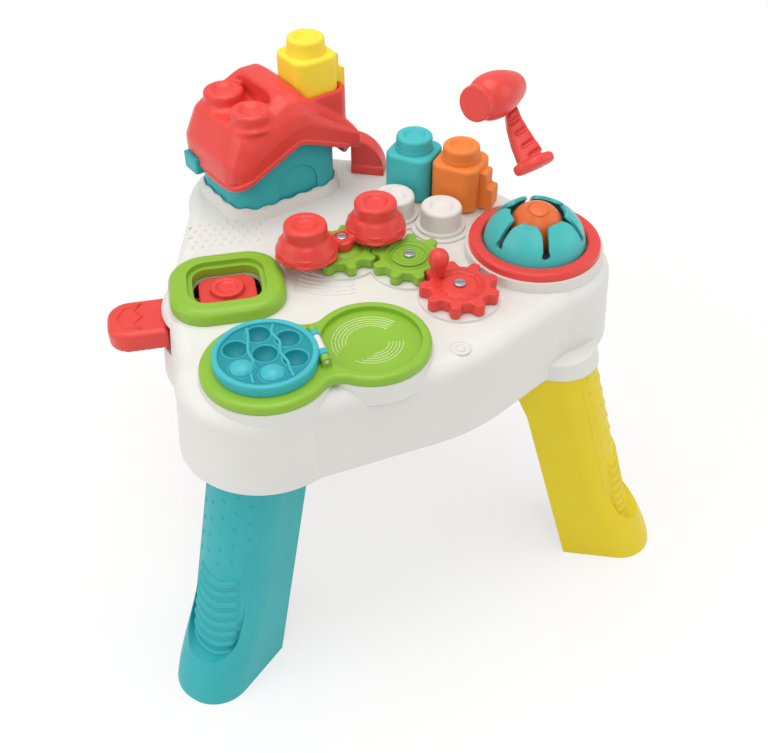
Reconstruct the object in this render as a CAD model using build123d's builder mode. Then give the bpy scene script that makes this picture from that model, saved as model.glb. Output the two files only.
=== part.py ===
from build123d import *
import math
import os

os.makedirs("parts", exist_ok=True)

# Middle of the layout, measured from the origin under the middle of the table
frame_x = -25.347
frame_y = -4.679

# Fits that the pieces share
overrun = 5
pin_gap = 0.05
seat_gap = 0.3
swing_gap = 0.8

# Table top: a shell with a lobed outline
deck_height = 300
deck_thickness = 4
apron_depth = 70
apron_inset = 6
apron_round = 14
shell_wall = 3.5
shell_round = 12
lobe_step = 4
plinth_depth = 14
seat_grow = 1.2
front_lobe_x = -88
front_lobe_y = -130
front_lobe_radius = 67
right_lobe_x = 130
right_lobe_y = 12
right_lobe_radius = 70
back_lobe_x = -100
back_lobe_y = 114
back_lobe_radius = 80
side_lobe_x = -120
side_lobe_y = -43
side_lobe_radius = 60
mid_lobe_x = -10
mid_lobe_y = 0
mid_lobe_radius = 154
rear_lobe_x = 0
rear_lobe_y = 25
rear_lobe_radius = 145

# Cover under the table top, with its bosses and screws
cover_thickness = 3
cover_lift = 2
boss_radius = 5
boss_hole_radius = 1.6
boss_hole_depth = 14
screw_head_radius = 3.6
screw_head_height = 1.8
screw_length = 12
boss_front_x = 18
boss_front_y = -98
boss_right_x = 92
boss_right_y = 52
boss_left_x = -150
boss_left_y = 70
boss_middle_x = -20
boss_middle_y = 50

# Legs: open channels that lean outward
leg_width = 68
leg_depth = 66
leg_root_depth = 86
leg_corner = 32
leg_wall = 3
leg_rib = 3
leg_splay = 0.294
leg_insert = 10
leg_cap = 4
flare_height = 52
flare_middle_height = 22
flare_middle_depth = 71
foot_round = 12
toe_reach = 17
toe_height = 96
toe_steps = 10
toe_hollow = 26
panel_width = 52
panel_low = 38
panel_corner = 22
socket_wall = 3
socket_drop = 4
socket_round = 2.4
leg_front_x = -114.5
leg_front_y = -157.3
leg_front_turn = -124
leg_right_x = 184
leg_right_y = -36
leg_right_turn = -8
leg_back_x = -86
leg_back_y = 164
leg_back_turn = 118

# Studs and stacking blocks
stud_radius = 17.8
stud_height = 18
stud_round = 3
stud_dimple_radius = 10.5
stud_dimple_depth = 3
stud_base_radius = 21.5
stud_base_height = 4.5
stud_foot_radius = 26
stud_foot_height = 1.8
block_side = 42.5
block_height = 40
block_corner = 11
block_round = 3.5
block_shoulder_radius = 20.4
block_shoulder_height = 3
block_stud_height = 10.5
block_socket_depth = 21
fin_width = 15
fin_low_reach = 12
fin_low_height = 20
fin_high_reach = 6
fin_high_height = 34
fin_round = 2.5
stud_one_x = 53.8
stud_one_y = 49.7
stud_two_x = 13.5
stud_two_y = 67.5
orange_x = 71.7
orange_y = 90
teal_x = 31.4
teal_y = 107.8
block_turn = -26

# House
house_x = -99.8
house_y = 118.6
house_turn = 36
house_width = 106
house_depth = 84
house_corner = 24
house_wall = 3
house_plinth_height = 4
mound_grow = 10
mound_top_grow = 3
mound_rise = 9
mound_round = 2
eave_height = 37
gable_height = 63
gable_shift = 5
door_width = 40
door_height = 34
door_depth = 1.4
latch_place = 24
latch_width = 22
latch_reach = 12.5
latch_low = 27
latch_high = 41
latch_round = 2.5

# Roof: outline across the house, left to right, and how it grows from the gables inward
roof_left_over = 9
roof_right_over = 13
roof_front_over = 11
roof_back_over = 5
roof_wall = 3
roof_corner = 16
roof_place_shares = [0, 0.03, 0.09, 0.19, 0.33, 0.73, 0.83, 0.92, 0.97, 1]
roof_rise_shares = [0, 0.36, 0.72, 0.95, 1, 1, 0.95, 0.72, 0.36, 0]
roof_corner_shares = [1, 0.54, 0.2, 0.03, 0, 0, 0.03, 0.2, 0.54, 1]
roof_left_low = 33
roof_left_high = 56
roof_right_low = 41
roof_right_high = 60
fascia_left_high = 52
fascia_shoulder_high = 63
fascia_ridge_high = 79
fascia_right_high = 55
platform_height = 84
shoulder_inset = 12
pocket_right = -7
pocket_inset = 10
pocket_round = 24
hollow_front_inset = 20
hollow_back_inset = 18
ridge_height = 105
ridge_left = -4
ridge_right = 13
roof_round = 10
ridge_round = 7
fascia_round = 5
gable_gap = 1.5
roof_stud_inset = 25.2
roof_stud_front = -28
roof_stud_back = 18
roof_stud_base = 3
roof_stud_height = 11
chimney_inset = 15.5
chimney_y = -14
chimney_side = 53
chimney_corner = 12
chimney_height = 84
chimney_rim = 10
hinge_reach = 5.5
hinge_z = 35
hinge_pin_radius = 1.6
hinge_knuckle_radius = 3.8
hinge_knuckle_length = 12
hinge_place = 20

# Quarter-round slide beside the house
slide_along = 19.9
slide_across = -25.26
slide_turn = -10
slide_reach = 31
slide_height = 35
slide_depth = 18
slide_round = 2
slide_lip = 2
slide_lip_height = 8

# Launcher: frame on the deck and a see-saw lever under it
launcher_x = -120.4
launcher_y = -43
launcher_turn = 12
frame_length = 92
frame_width = 82
frame_corner = 30
frame_height = 12
frame_round = 7
window_length = 54
window_width = 46
window_corner = 13
window_step = 4
window_step_depth = 4
pad_length = 46
pad_width = 41
pad_corner = 11
pad_low = -15
pad_high = 1
pad_stud_radius = 13.5
pad_stud_height = 5
pad_dimple_radius = 8.5
pad_dimple_depth = 2
lever_pivot = 34
lever_pivot_z = -17
lever_bar_width = 30
lever_bar_low = -23
lever_bar_high = -13
tongue_start = 50
tongue_reach = 98
tongue_width = 46
tongue_low = -30
tongue_high = -13
tongue_round = 5
lever_pin_radius = 2.5
lever_pin_over = 1.2
ear_width = 5
ear_length = 14
ear_drop = 24
slot_gap = 2.5
slot_drop = 8

# Flip tray and pop-it disc, along the line from disc to dish
flip_x = -80.5
flip_y = -140
flip_turn = 19
flip_pitch = 80
tray_disc_radius = 48.8
tray_dish_radius = 45.5
tray_waist_round = 16
tray_plinth_grow = 1
tray_plinth_height = 4
tray_high = 11.5
tray_round = 3.5
disc_seat_radius = 36
disc_seat_low = 6.5
dish_radius = 38
dish_low = 7.5
disc_radius = 38.6
disc_low = 11.8
disc_high = 20.8
disc_ring = 4.6
disc_ring_round = 1.8
sheet_low = 17
sheet_high = 18.6
bubble_ring_radius = 22.6
bubble_radius = 9.6
bubble_rise = 4.6
well_depth = 7.5
bubble_wall = 1.2
bubble_turn = -11.6
bubble_count = 6
bubble_up_one = 4
bubble_up_two = 5
flip_axis_z = 16.2
knuckle_radius = 3.8
knuckle_length = 5.5
sleeve_radius = 3.4
sleeve_length = 16
flip_pin_radius = 1.6
lug_length = 6
lug_gap = 0.5
lug_width = 7
hinge_pocket = 7

# Gears
gear_teeth = 9
gear_pitch_radius = 28.5
gear_tip_radius = 32
gear_root_radius = 24
tooth_root_half = 5.4
tooth_pitch_half = 4.3
tooth_tip_half = 3.2
tooth_round = 2.8
gear_edge = 0.9
gear_low = 2.5
gear_high = 11.5
crank_high = 13
seat_radius = 33
post_radius = 3.5
post_over = 0.4
gear_hub_radius = 14
gear_dish_radius = 18.5
gear_dish_depth = 1.5
idler_x = 25.3
idler_y = -8.4
crank_direction = -46.8
carousel_direction = 166.9
idler_phase = 6
gear_screw_head = 4.8
gear_screw_rise = 2
gear_screw_radius = 1.5
gear_screw_length = 7
gear_screw_slot = 1.2
gear_screw_slot_depth = 0.9

# Knob on the crank
knob_place = 21.5
knob_direction = 140
knob_radius = 8.2
knob_neck_radius = 5.6
knob_height = 23
knob_belly = 13
knob_peg_radius = 2.5
knob_peg_depth = 5

# Carousel
carousel_turn = 31
hat_place = 32.5
hat_low = 16.5
hat_high = 45
hat_brim_radius = 25.5
hat_brim_height = 5
hat_shoulder_radius = 20.5
hat_shoulder_height = 14.5
hat_cone_height = 17
bar_width = 15
bar_high = 22.5
bar_round = 3
carousel_hub_radius = 10
carousel_seat = 19.5

# Dome
drum_radius = 57.4
drum_height = 9
pit_radius = 34
pit_low = 1.5
bezel_outer_radius = 54.8
bezel_inner_radius = 43.4
bezel_height = 7
bezel_round = 3
dome_base_radius = 42.9
dome_top_radius = 23
dome_rise = 32
dome_wall = 2.6
petal_count = 6
petal_turn = 36
slot_width = 5
slot_hole_radius = 3.5
slot_hole_height = 14
slot_mouth_radius = 6.5
ball_radius = 22.4
ball_centre = 24.6
ball_groove_radius = 8.5
ball_groove_width = 1.6
ball_tilt = 12
ball_cup_radius = 33.5
ball_cup_high = 6.5

# Hammer, held in the air with its side to the front and leaning back
hammer_x = 75.5
hammer_y = 7.5
hammer_rise = 136
hammer_lean = 42.26
hammer_pixel = 0.747
hammer_pixel_x = 478
hammer_pixel_y = 106
handle_pixels = [
    (503, 104), (514, 104), (521, 121), (531, 137), (541, 151), (519, 168), (511, 147), (506, 128),
]
handle_thickness = 15
handle_round = 3
foot_pixel = (533, 164)
foot_turn = -66
foot_width = 16
foot_depth = 11
foot_thickness = 8
foot_edge = 3
groove_pixels = [(509, 112), (514, 122), (520, 133), (527, 145), (534, 154)]
groove_turn = 36
groove_length = 13
groove_width = 3.5
groove_depth = 2.5
head_turn = 215
head_yaw = 40
head_tail_x = 29.5
head_tail_y = 16.3
head_length = 58
face_radius = 13.2
face_length = 5
collar_radius = 12
collar_length = 3
belly_radius = 17
belly_place = 26
tail_radius = 12
tail_place = 49

apron_base = deck_height - apron_depth
deck_under = deck_height - deck_thickness
roof_left = -house_width / 2 - roof_left_over
roof_right = house_width / 2 + roof_right_over
roof_front = -house_depth / 2 - roof_front_over
roof_back = house_depth / 2 + roof_back_over
platform_left = roof_left + shoulder_inset
pocket_front = roof_front + pocket_inset
pocket_back = roof_back - pocket_inset
hollow_front = roof_front + hollow_front_inset
hollow_back = roof_back - hollow_back_inset
roof_stud_x = roof_stud_inset - house_width / 2
chimney_x = house_width / 2 - chimney_inset
hinge_x = house_width / 2 + hinge_reach
leg_top = apron_base + leg_insert
flare_bottom = apron_base - flare_height
flare_middle = apron_base - flare_middle_height
lobes = [
    (front_lobe_x, front_lobe_y, front_lobe_radius - lobe_step),
    (mid_lobe_x, mid_lobe_y, mid_lobe_radius),
    (right_lobe_x, right_lobe_y, right_lobe_radius - lobe_step),
    (rear_lobe_x, rear_lobe_y, rear_lobe_radius),
    (back_lobe_x, back_lobe_y, back_lobe_radius - lobe_step),
    (side_lobe_x, side_lobe_y, side_lobe_radius - lobe_step),
]
bulges = [
    (front_lobe_x, front_lobe_y, front_lobe_radius),
    (right_lobe_x, right_lobe_y, right_lobe_radius),
    (back_lobe_x, back_lobe_y, back_lobe_radius),
    (side_lobe_x, side_lobe_y, side_lobe_radius),
]
legs = [
    ("leg_front_left", leg_front_x, leg_front_y, leg_front_turn),
    ("leg_right", leg_right_x, leg_right_y, leg_right_turn),
    ("leg_back", leg_back_x, leg_back_y, leg_back_turn),
]
bosses = [
    (boss_front_x, boss_front_y),
    (boss_right_x, boss_right_y),
    (boss_left_x, boss_left_y),
    (boss_middle_x, boss_middle_y),
]
studs = [
    (stud_one_x, stud_one_y),
    (stud_two_x, stud_two_y),
    (orange_x, orange_y),
    (teal_x, teal_y),
]
gear_distance = 2 * gear_pitch_radius
crank_x = idler_x + gear_distance * math.cos(math.radians(crank_direction))
crank_y = idler_y + gear_distance * math.sin(math.radians(crank_direction))
wheel_x = idler_x + gear_distance * math.cos(math.radians(carousel_direction))
wheel_y = idler_y + gear_distance * math.sin(math.radians(carousel_direction))
posts = [
    (idler_x, idler_y, gear_high),
    (crank_x, crank_y, crank_high),
    (wheel_x, wheel_y, carousel_seat),
]
tooth_turn = 360 / gear_teeth
crank_phase = 2 * crank_direction + 180 + tooth_turn / 2 - idler_phase
wheel_phase = 2 * carousel_direction + 180 + tooth_turn / 2 - idler_phase
flip_axis = flip_pitch / 2


def spot(x, y, z, turn=0):
    """Level plane at a place of the layout, turned about the vertical."""
    angle = math.radians(turn)
    return Plane(
        origin=(frame_x + x, frame_y + y, z),
        x_dir=(math.cos(angle), math.sin(angle), 0),
        z_dir=(0, 0, 1),
    )


def upright(x, y, z, turn=0):
    """Upright plane at a place of the layout: local x along the turn, local y up."""
    angle = math.radians(turn)
    return Plane(
        origin=(frame_x + x, frame_y + y, z),
        x_dir=(math.cos(angle), math.sin(angle), 0),
        z_dir=(math.sin(angle), -math.cos(angle), 0),
    )


def beside(x, y, turn, along, across):
    """Place that lies along and across a turned direction from another place."""
    angle = math.radians(turn)
    return (
        x + along * math.cos(angle) - across * math.sin(angle),
        y + along * math.sin(angle) + across * math.cos(angle),
    )


def lobe_arcs():
    """Lobes that shape the outline, each with the start and the sweep of its arc."""
    ring = list(lobes)
    while True:
        ends = []
        for (x1, y1, radius1), (x2, y2, radius2) in zip(ring, ring[1:] + ring[:1]):
            lean = math.acos((radius1 - radius2) / math.hypot(x2 - x1, y2 - y1))
            ends.append(math.degrees(math.atan2(y2 - y1, x2 - x1) - lean))
        starts = ends[-1:] + ends[:-1]
        sweeps = [(end - start) % 360 for start, end in zip(starts, ends)]
        if max(sweeps) < 180:
            return list(zip(ring, starts, sweeps))
        ring.pop(sweeps.index(max(sweeps)))


def lobe_outline(z, grow):
    """Outline of the table top at one height, grown outward."""
    with BuildSketch(spot(0, 0, z)) as outline:
        with BuildLine():
            arcs = []
            for (lobe_x, lobe_y, lobe_radius), start, sweep in lobe_arcs():
                arcs.append(CenterArc((lobe_x, lobe_y), lobe_radius + grow, start, sweep))
            for arc, following in zip(arcs, arcs[1:] + arcs[:1]):
                Line(arc @ 1, following @ 0)
        make_face()
    return outline.sketch


def lobe_bulge(x, y, radius):
    """Fuller round of one lobe, tapered and rounded like the apron."""
    levels = []
    for z, inset in ((apron_base, 0), (deck_height, apron_inset)):
        with BuildSketch(spot(x, y, z)) as level:
            Circle(radius - inset)
        levels.append(level.sketch)
    with BuildPart() as bulge:
        loft(levels, ruled=True)
        fillet(bulge.faces().sort_by(Axis.Z)[-1].edges(), apron_round)
    return bulge.part


def leg_crest(z):
    """How far the crest of a leg stands out at one height."""
    return leg_splay * (apron_base - z)


def leg_level(z, depth, grow, reach=0):
    """Section of a leg at one height, grown all round and with a longer toe."""
    with BuildSketch(Plane.XY.offset(z)) as level:
        with Locations((leg_crest(z) + grow + reach, 0)):
            Rectangle(depth + reach + 2 * grow, leg_width + 2 * grow, align=(Align.MAX, Align.CENTER))
        fillet(level.vertices().sort_by(Axis.X)[-2:], leg_corner + grow)
    return level.sketch


def leg_stock(grow, low, high, depth):
    """Straight leg between two heights."""
    with BuildPart() as stock:
        loft([leg_level(low, depth, grow), leg_level(high, depth, grow)], ruled=True)
    return stock.part


def place_leg(shape, x, y, turn):
    """Set a shape of the leg frame at its place of the layout."""
    return Pos(frame_x + x, frame_y + y, 0) * Rot(0, 0, turn) * shape


def screw(head_radius, head_rise, shank_radius, shank_length):
    """Round-headed screw that points down from its seat."""
    with BuildPart() as body:
        Cylinder(head_radius, head_rise, align=(Align.CENTER, Align.CENTER, Align.MIN))
        fillet(body.edges().sort_by(Axis.Z)[-1], head_rise / 2)
        Cylinder(shank_radius, shank_length, align=(Align.CENTER, Align.CENTER, Align.MAX))
    return body.part


def gear_face(z, phase):
    """Outline of a gear with thick rounded teeth."""
    points = []
    for tooth in range(gear_teeth):
        angle = phase + tooth * tooth_turn
        for radius, half in (
            (gear_root_radius, -tooth_root_half),
            (gear_pitch_radius, -tooth_pitch_half),
            (gear_tip_radius, -tooth_tip_half),
            (gear_tip_radius, tooth_tip_half),
            (gear_pitch_radius, tooth_pitch_half),
            (gear_root_radius, tooth_root_half),
        ):
            points.append(beside(0, 0, angle, radius, half))
    with BuildSketch(Plane.XY.offset(z)) as outline:
        with BuildLine():
            Polyline(*points, close=True)
        make_face()
    return outline.sketch


def gear(phase, high):
    """Gear standing on its seat, with its bore on the vertical axis."""
    with BuildPart() as wheel:
        extrude(gear_face(gear_low, phase), amount=high - gear_low)
        tips = wheel.edges().filter_by(Axis.Z).sort_by(SortBy.DISTANCE)[-2 * gear_teeth :]
        fillet(tips, tooth_round)
        fillet(wheel.faces().sort_by(Axis.Z)[-1].edges(), gear_edge)
        with BuildSketch(Plane.XY.offset(high)):
            Circle(gear_dish_radius)
            Circle(gear_hub_radius, mode=Mode.SUBTRACT)
        extrude(amount=-gear_dish_depth, mode=Mode.SUBTRACT)
        with BuildSketch(Plane.XY.offset(gear_low)):
            Circle(post_radius + pin_gap)
        extrude(amount=high, mode=Mode.SUBTRACT)
    return wheel.part


def stud_profile(low, base_radius, base_height, radius, height):
    """Half outline of a stud on its base ring, with a dimple on top."""
    top = low + base_height + height
    with BuildSketch(Plane.XZ) as half:
        with BuildLine():
            Polyline(
                (0, low),
                (base_radius, low),
                (base_radius, low + base_height),
                (radius, low + base_height),
                (radius, top - stud_round),
            )
            RadiusArc((radius, top - stud_round), (radius - stud_round, top), -stud_round)
            Polyline(
                (radius - stud_round, top),
                (stud_dimple_radius, top),
                (stud_dimple_radius - stud_dimple_depth, top - stud_dimple_depth),
                (0, top - stud_dimple_depth),
                (0, low),
            )
        make_face()
    return half.sketch


def stud(low, base_radius, base_height, radius, height):
    """Round stud on its base ring."""
    with BuildPart() as peg:
        revolve(stud_profile(low, base_radius, base_height, radius, height), axis=Axis.Z)
    return peg.part


def block():
    """Stacking block standing on its socket, with a stepped fin on its side."""
    with BuildPart() as cube:
        with BuildSketch():
            RectangleRounded(block_side, block_side, block_corner)
        extrude(amount=block_height)
        fillet(cube.faces().sort_by(Axis.Z)[-1].edges(), block_round)
        add(
            stud(
                block_height,
                block_shoulder_radius - block_round,
                block_shoulder_height,
                stud_radius - block_round / 2,
                block_stud_height,
            )
        )
        with BuildSketch():
            Circle(stud_radius + seat_gap)
        extrude(amount=block_socket_depth, mode=Mode.SUBTRACT)
        with BuildSketch(Plane.XZ):
            fin_root = (block_side / 2 - stud_radius - seat_gap) / 2
            with Locations((block_side / 2 - fin_root, 0)):
                Rectangle(fin_low_reach + fin_root, fin_low_height, align=(Align.MIN, Align.MIN))
                Rectangle(fin_high_reach + fin_root, fin_high_height, align=(Align.MIN, Align.MIN))
        extrude(amount=fin_width / 2, both=True)
        tips = cube.edges().filter_by(Axis.Y).group_by(Axis.X)
        fillet(tips[-1] + tips[-2], fin_round)
    return cube.part


def toe_flare(z):
    """How far the toe stands out from the straight leg at one height."""
    return toe_reach * (1 + math.cos(math.pi * z / toe_height)) / 2


def leg_toe():
    """Flared toe of a leg, cut out around the panel on the front."""
    with BuildPart() as toe:
        levels = [toe_height * step / toe_steps for step in range(toe_steps + 1)]
        loft([leg_level(z, leg_depth, 0, toe_flare(z)) for z in levels], ruled=True)
        with BuildSketch(Plane.YZ) as panel:
            with Locations((0, panel_low)):
                Rectangle(panel_width, toe_height, align=(Align.CENTER, Align.MIN))
            fillet(panel.vertices().sort_by(Axis.Y)[:2], panel_corner)
        extrude(amount=leg_crest(0) + toe_reach + overrun, mode=Mode.SUBTRACT)
    return toe.part


def leg_channel():
    """Room inside a leg, open behind and below."""
    low = -overrun
    hollow_reach = toe_flare(toe_hollow)
    high = leg_top - leg_cap
    depth = leg_root_depth + overrun
    with BuildPart() as channel:
        loft([leg_level(low, depth, -leg_wall), leg_level(high, depth, -leg_wall)], ruled=True)
        loft(
            [
                leg_level(low, leg_depth, -leg_wall, hollow_reach),
                leg_level(toe_hollow, leg_depth, -leg_wall, hollow_reach),
            ],
            ruled=True,
        )
    return channel.part


def leg_body():
    """Leg in its own frame: crest toward +X, open channel behind, toe at the floor."""
    rib_top = leg_top - leg_cap / 2
    with BuildPart() as leg:
        loft([leg_level(0, leg_depth, 0), leg_level(leg_top, leg_depth, 0)], ruled=True)
        loft(
            [
                leg_level(flare_bottom, leg_depth, 0),
                leg_level(flare_middle, flare_middle_depth, 0),
                leg_level(apron_base, leg_root_depth, 0),
            ],
            ruled=True,
        )
        loft([leg_level(apron_base, leg_root_depth, 0), leg_level(leg_top, leg_root_depth, 0)], ruled=True)
        add(leg_toe())
        add(leg_channel(), mode=Mode.SUBTRACT)
        with BuildSketch(Plane.XZ):
            with BuildLine():
                Polyline(
                    (leg_crest(foot_round) - leg_wall / 2, foot_round),
                    (leg_crest(rib_top) - leg_wall / 2, rib_top),
                    (leg_crest(rib_top) - leg_root_depth, rib_top),
                    (leg_crest(apron_base) - leg_root_depth, apron_base),
                    (leg_crest(flare_middle) - flare_middle_depth, flare_middle),
                    (leg_crest(flare_bottom) - leg_depth, flare_bottom),
                    (leg_crest(foot_round) - leg_depth, foot_round),
                    (leg_crest(foot_round) - leg_wall / 2, foot_round),
                )
            make_face()
        extrude(amount=leg_rib / 2, both=True)
    return leg.part


slide_x, slide_y = beside(house_x, house_y, house_turn, house_width / 2 + slide_along, slide_across)
leg_shape = leg_body()
socket_low = apron_base - socket_drop
socket_high = leg_top + seat_gap + socket_wall
socket_room = leg_stock(seat_gap, socket_low - overrun, leg_top + seat_gap, leg_root_depth)
socket_way = leg_stock(2 * seat_gap + socket_wall, apron_base - overrun, leg_top, leg_root_depth)
with BuildPart() as socket_shell:
    add(leg_stock(seat_gap + socket_wall, socket_low, socket_high, leg_root_depth))
    fillet(socket_shell.faces().sort_by(Axis.Z)[-1].edges(), socket_round)
with BuildPart() as socket_ribs:
    with BuildSketch(Plane.XY.offset(leg_top + seat_gap)):
        with Locations((leg_crest(leg_top) - leg_root_depth / 2, 0)):
            Rectangle(leg_root_depth, socket_wall)
            Rectangle(socket_wall, leg_width)
    extrude(amount=deck_under - leg_top + deck_thickness / 2)


# Inside of the shell, rounded under the deck
with BuildPart() as shell_room:
    loft(
        [
            lobe_outline(apron_base, -shell_wall),
            lobe_outline(deck_under, -shell_wall - apron_inset * (deck_under - apron_base) / apron_depth),
        ],
        ruled=True,
    )
    fillet(shell_room.faces().sort_by(Axis.Z)[-1].edges(), shell_round)

# Mound that the house stands in
mound_levels = []
for z, grow in ((deck_height - plinth_depth, mound_grow), (deck_height + mound_rise, mound_top_grow)):
    with BuildSketch(spot(house_x, house_y, z, house_turn)) as mound_level:
        RectangleRounded(house_width + 2 * grow, house_depth + 2 * grow, house_corner + grow)
    mound_levels.append(mound_level.sketch)
with BuildPart() as house_mound:
    loft(mound_levels, ruled=True)
    fillet(house_mound.faces().sort_by(Axis.Z)[-1].edges(), mound_round)

# Ribs above the sockets, kept inside the shell
with BuildPart() as shell_ribs:
    for name, x, y, turn in legs:
        add(place_leg(socket_ribs.part, x, y, turn))
    add(shell_room.part, mode=Mode.INTERSECT)

# Table top: shell, sockets, plinths, studs, posts and drum in one moulding
with BuildPart() as table_top:
    loft([lobe_outline(apron_base, 0), lobe_outline(deck_height, -apron_inset)], ruled=True)
    fillet(table_top.faces().sort_by(Axis.Z)[-1].edges(), apron_round)
    # Fuller lobes
    for x, y, radius in bulges:
        add(lobe_bulge(x, y, radius))
    # Mound of the house, plinth of the flip tray, drum of the dome
    add(house_mound.part)
    with BuildSketch(spot(flip_x, flip_y, deck_height - plinth_depth, flip_turn)):
        Circle(tray_disc_radius + tray_plinth_grow)
        with Locations((flip_pitch, 0)):
            Circle(tray_dish_radius + tray_plinth_grow)
    extrude(amount=plinth_depth + tray_plinth_height)
    with BuildSketch(spot(right_lobe_x, right_lobe_y, deck_height - plinth_depth)):
        Circle(drum_radius)
    extrude(amount=plinth_depth + drum_height)
    # Level seats of the launcher and the slide
    with BuildSketch(spot(launcher_x, launcher_y, deck_height, launcher_turn)):
        RectangleRounded(
            frame_length + 2 * seat_grow,
            frame_width + 2 * seat_grow,
            frame_corner + seat_grow,
        )
    extrude(amount=-plinth_depth)
    slide_middle = beside(slide_x, slide_y, slide_turn, slide_reach / 2, (slide_depth - slide_lip) / 2)
    with BuildSketch(spot(slide_middle[0], slide_middle[1], deck_height, slide_turn)):
        Rectangle(slide_reach + 2 * seat_grow, slide_depth + slide_lip + 2 * seat_grow)
    extrude(amount=-plinth_depth)
    add(shell_room.part, mode=Mode.SUBTRACT)
    # Sockets of the legs
    for name, x, y, turn in legs:
        add(place_leg(socket_shell.part, x, y, turn))
    add(shell_ribs.part)
    for name, x, y, turn in legs:
        add(place_leg(socket_room, x, y, turn), mode=Mode.SUBTRACT)
    # Recess for the walls of the house and pit for the cup of the ball
    with BuildSketch(spot(house_x, house_y, deck_height + house_plinth_height, house_turn)):
        RectangleRounded(house_width + 2 * seat_gap, house_depth + 2 * seat_gap, house_corner + seat_gap)
    extrude(amount=mound_rise, mode=Mode.SUBTRACT)
    with BuildSketch(spot(right_lobe_x, right_lobe_y, deck_height + pit_low)):
        Circle(pit_radius)
    extrude(amount=drum_height, mode=Mode.SUBTRACT)
    # Studs for the blocks
    for x, y in studs:
        with BuildSketch(spot(x, y, deck_under)):
            Circle(stud_foot_radius)
        extrude(amount=deck_thickness + stud_foot_height)
        base_height = deck_thickness + stud_base_height
        peg = stud(deck_under, stud_base_radius, base_height, stud_radius, stud_height)
        add(Pos(frame_x + x, frame_y + y, 0) * peg)
    # Seats and posts of the gears
    for x, y, high in posts:
        with BuildSketch(spot(x, y, deck_under)):
            Circle(seat_radius)
        extrude(amount=deck_thickness + gear_low - post_over)
        with BuildSketch(spot(x, y, deck_under)):
            Circle(gear_hub_radius)
        extrude(amount=deck_thickness + gear_low)
        with BuildSketch(spot(x, y, deck_under)):
            Circle(post_radius)
        extrude(amount=deck_thickness + high + post_over)
        with BuildSketch(spot(x, y, deck_height + high + post_over)):
            Circle(gear_screw_radius + pin_gap)
        extrude(amount=-gear_screw_length - overrun / 2, mode=Mode.SUBTRACT)
    # Opening for the launcher pad and way out for the tongue
    with BuildSketch(spot(launcher_x, launcher_y, deck_height, launcher_turn)):
        RectangleRounded(window_length, window_width, window_corner)
    extrude(amount=-deck_thickness - overrun, mode=Mode.SUBTRACT)
    slot_middle = beside(launcher_x, launcher_y, launcher_turn, -tongue_reach, 0)
    with BuildSketch(upright(slot_middle[0], slot_middle[1], deck_height, launcher_turn - 90)):
        with Locations((0, tongue_high + slot_gap)):
            Rectangle(
                tongue_width + 2 * slot_gap,
                tongue_high - tongue_low + slot_drop + slot_gap,
                align=(Align.CENTER, Align.MAX),
            )
    extrude(amount=-tongue_reach + window_length / 2, mode=Mode.SUBTRACT)
    # Ears that carry the pin of the lever
    for side in (-1, 1):
        ear_middle = beside(
            launcher_x,
            launcher_y,
            launcher_turn,
            -lever_pivot,
            side * (lever_bar_width / 2 + swing_gap + ear_width / 2),
        )
        ear_level = deck_under + deck_thickness / 2
        with BuildSketch(spot(ear_middle[0], ear_middle[1], ear_level, launcher_turn)):
            Rectangle(ear_length, ear_width)
        extrude(amount=-ear_drop)
    pin_middle = beside(launcher_x, launcher_y, launcher_turn, -lever_pivot, 0)
    with BuildSketch(upright(pin_middle[0], pin_middle[1], deck_height + lever_pivot_z, launcher_turn)):
        Circle(lever_pin_radius + pin_gap)
    extrude(amount=lever_bar_width / 2 + ear_width + overrun, both=True, mode=Mode.SUBTRACT)
    # Bosses for the screws of the cover
    for x, y in bosses:
        with BuildSketch(spot(x, y, apron_base + cover_lift + cover_thickness)):
            Circle(boss_radius)
        extrude(amount=apron_depth - cover_lift - cover_thickness - deck_thickness / 2)
        with BuildSketch(spot(x, y, apron_base + cover_lift)):
            Circle(boss_hole_radius + pin_gap)
        extrude(amount=cover_thickness + boss_hole_depth, mode=Mode.SUBTRACT)
table_top.part.label = "table_top"
export_step(table_top.part, "parts/table_top.step")

# Cover under the table top
with BuildPart() as table_underside:
    cover_low = apron_base + cover_lift
    cover_inset = shell_wall + apron_inset * (cover_lift + cover_thickness) / apron_depth + seat_gap
    extrude(lobe_outline(cover_low, -cover_inset), amount=cover_thickness)
    for name, x, y, turn in legs:
        add(place_leg(socket_way, x, y, turn), mode=Mode.SUBTRACT)
    for x, y in bosses:
        with BuildSketch(spot(x, y, cover_low)):
            Circle(boss_hole_radius + 2 * pin_gap)
        extrude(amount=cover_thickness, mode=Mode.SUBTRACT)
table_underside.part.label = "table_underside"
export_step(table_underside.part, "parts/table_underside.step")

# Screws of the cover, heads down
with BuildPart() as cover_screws:
    for x, y in bosses:
        add(
            Pos(frame_x + x, frame_y + y, apron_base + cover_lift)
            * Rot(180, 0, 0)
            * screw(screw_head_radius, screw_head_height, boss_hole_radius, screw_length)
        )
cover_screws.part.label = "cover_screws"
export_step(cover_screws.part, "parts/cover_screws.step")

# Legs
for name, x, y, turn in legs:
    placed_leg = place_leg(leg_shape, x, y, turn)
    placed_leg.label = name
    export_step(placed_leg, "parts/" + name + ".step")


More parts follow.
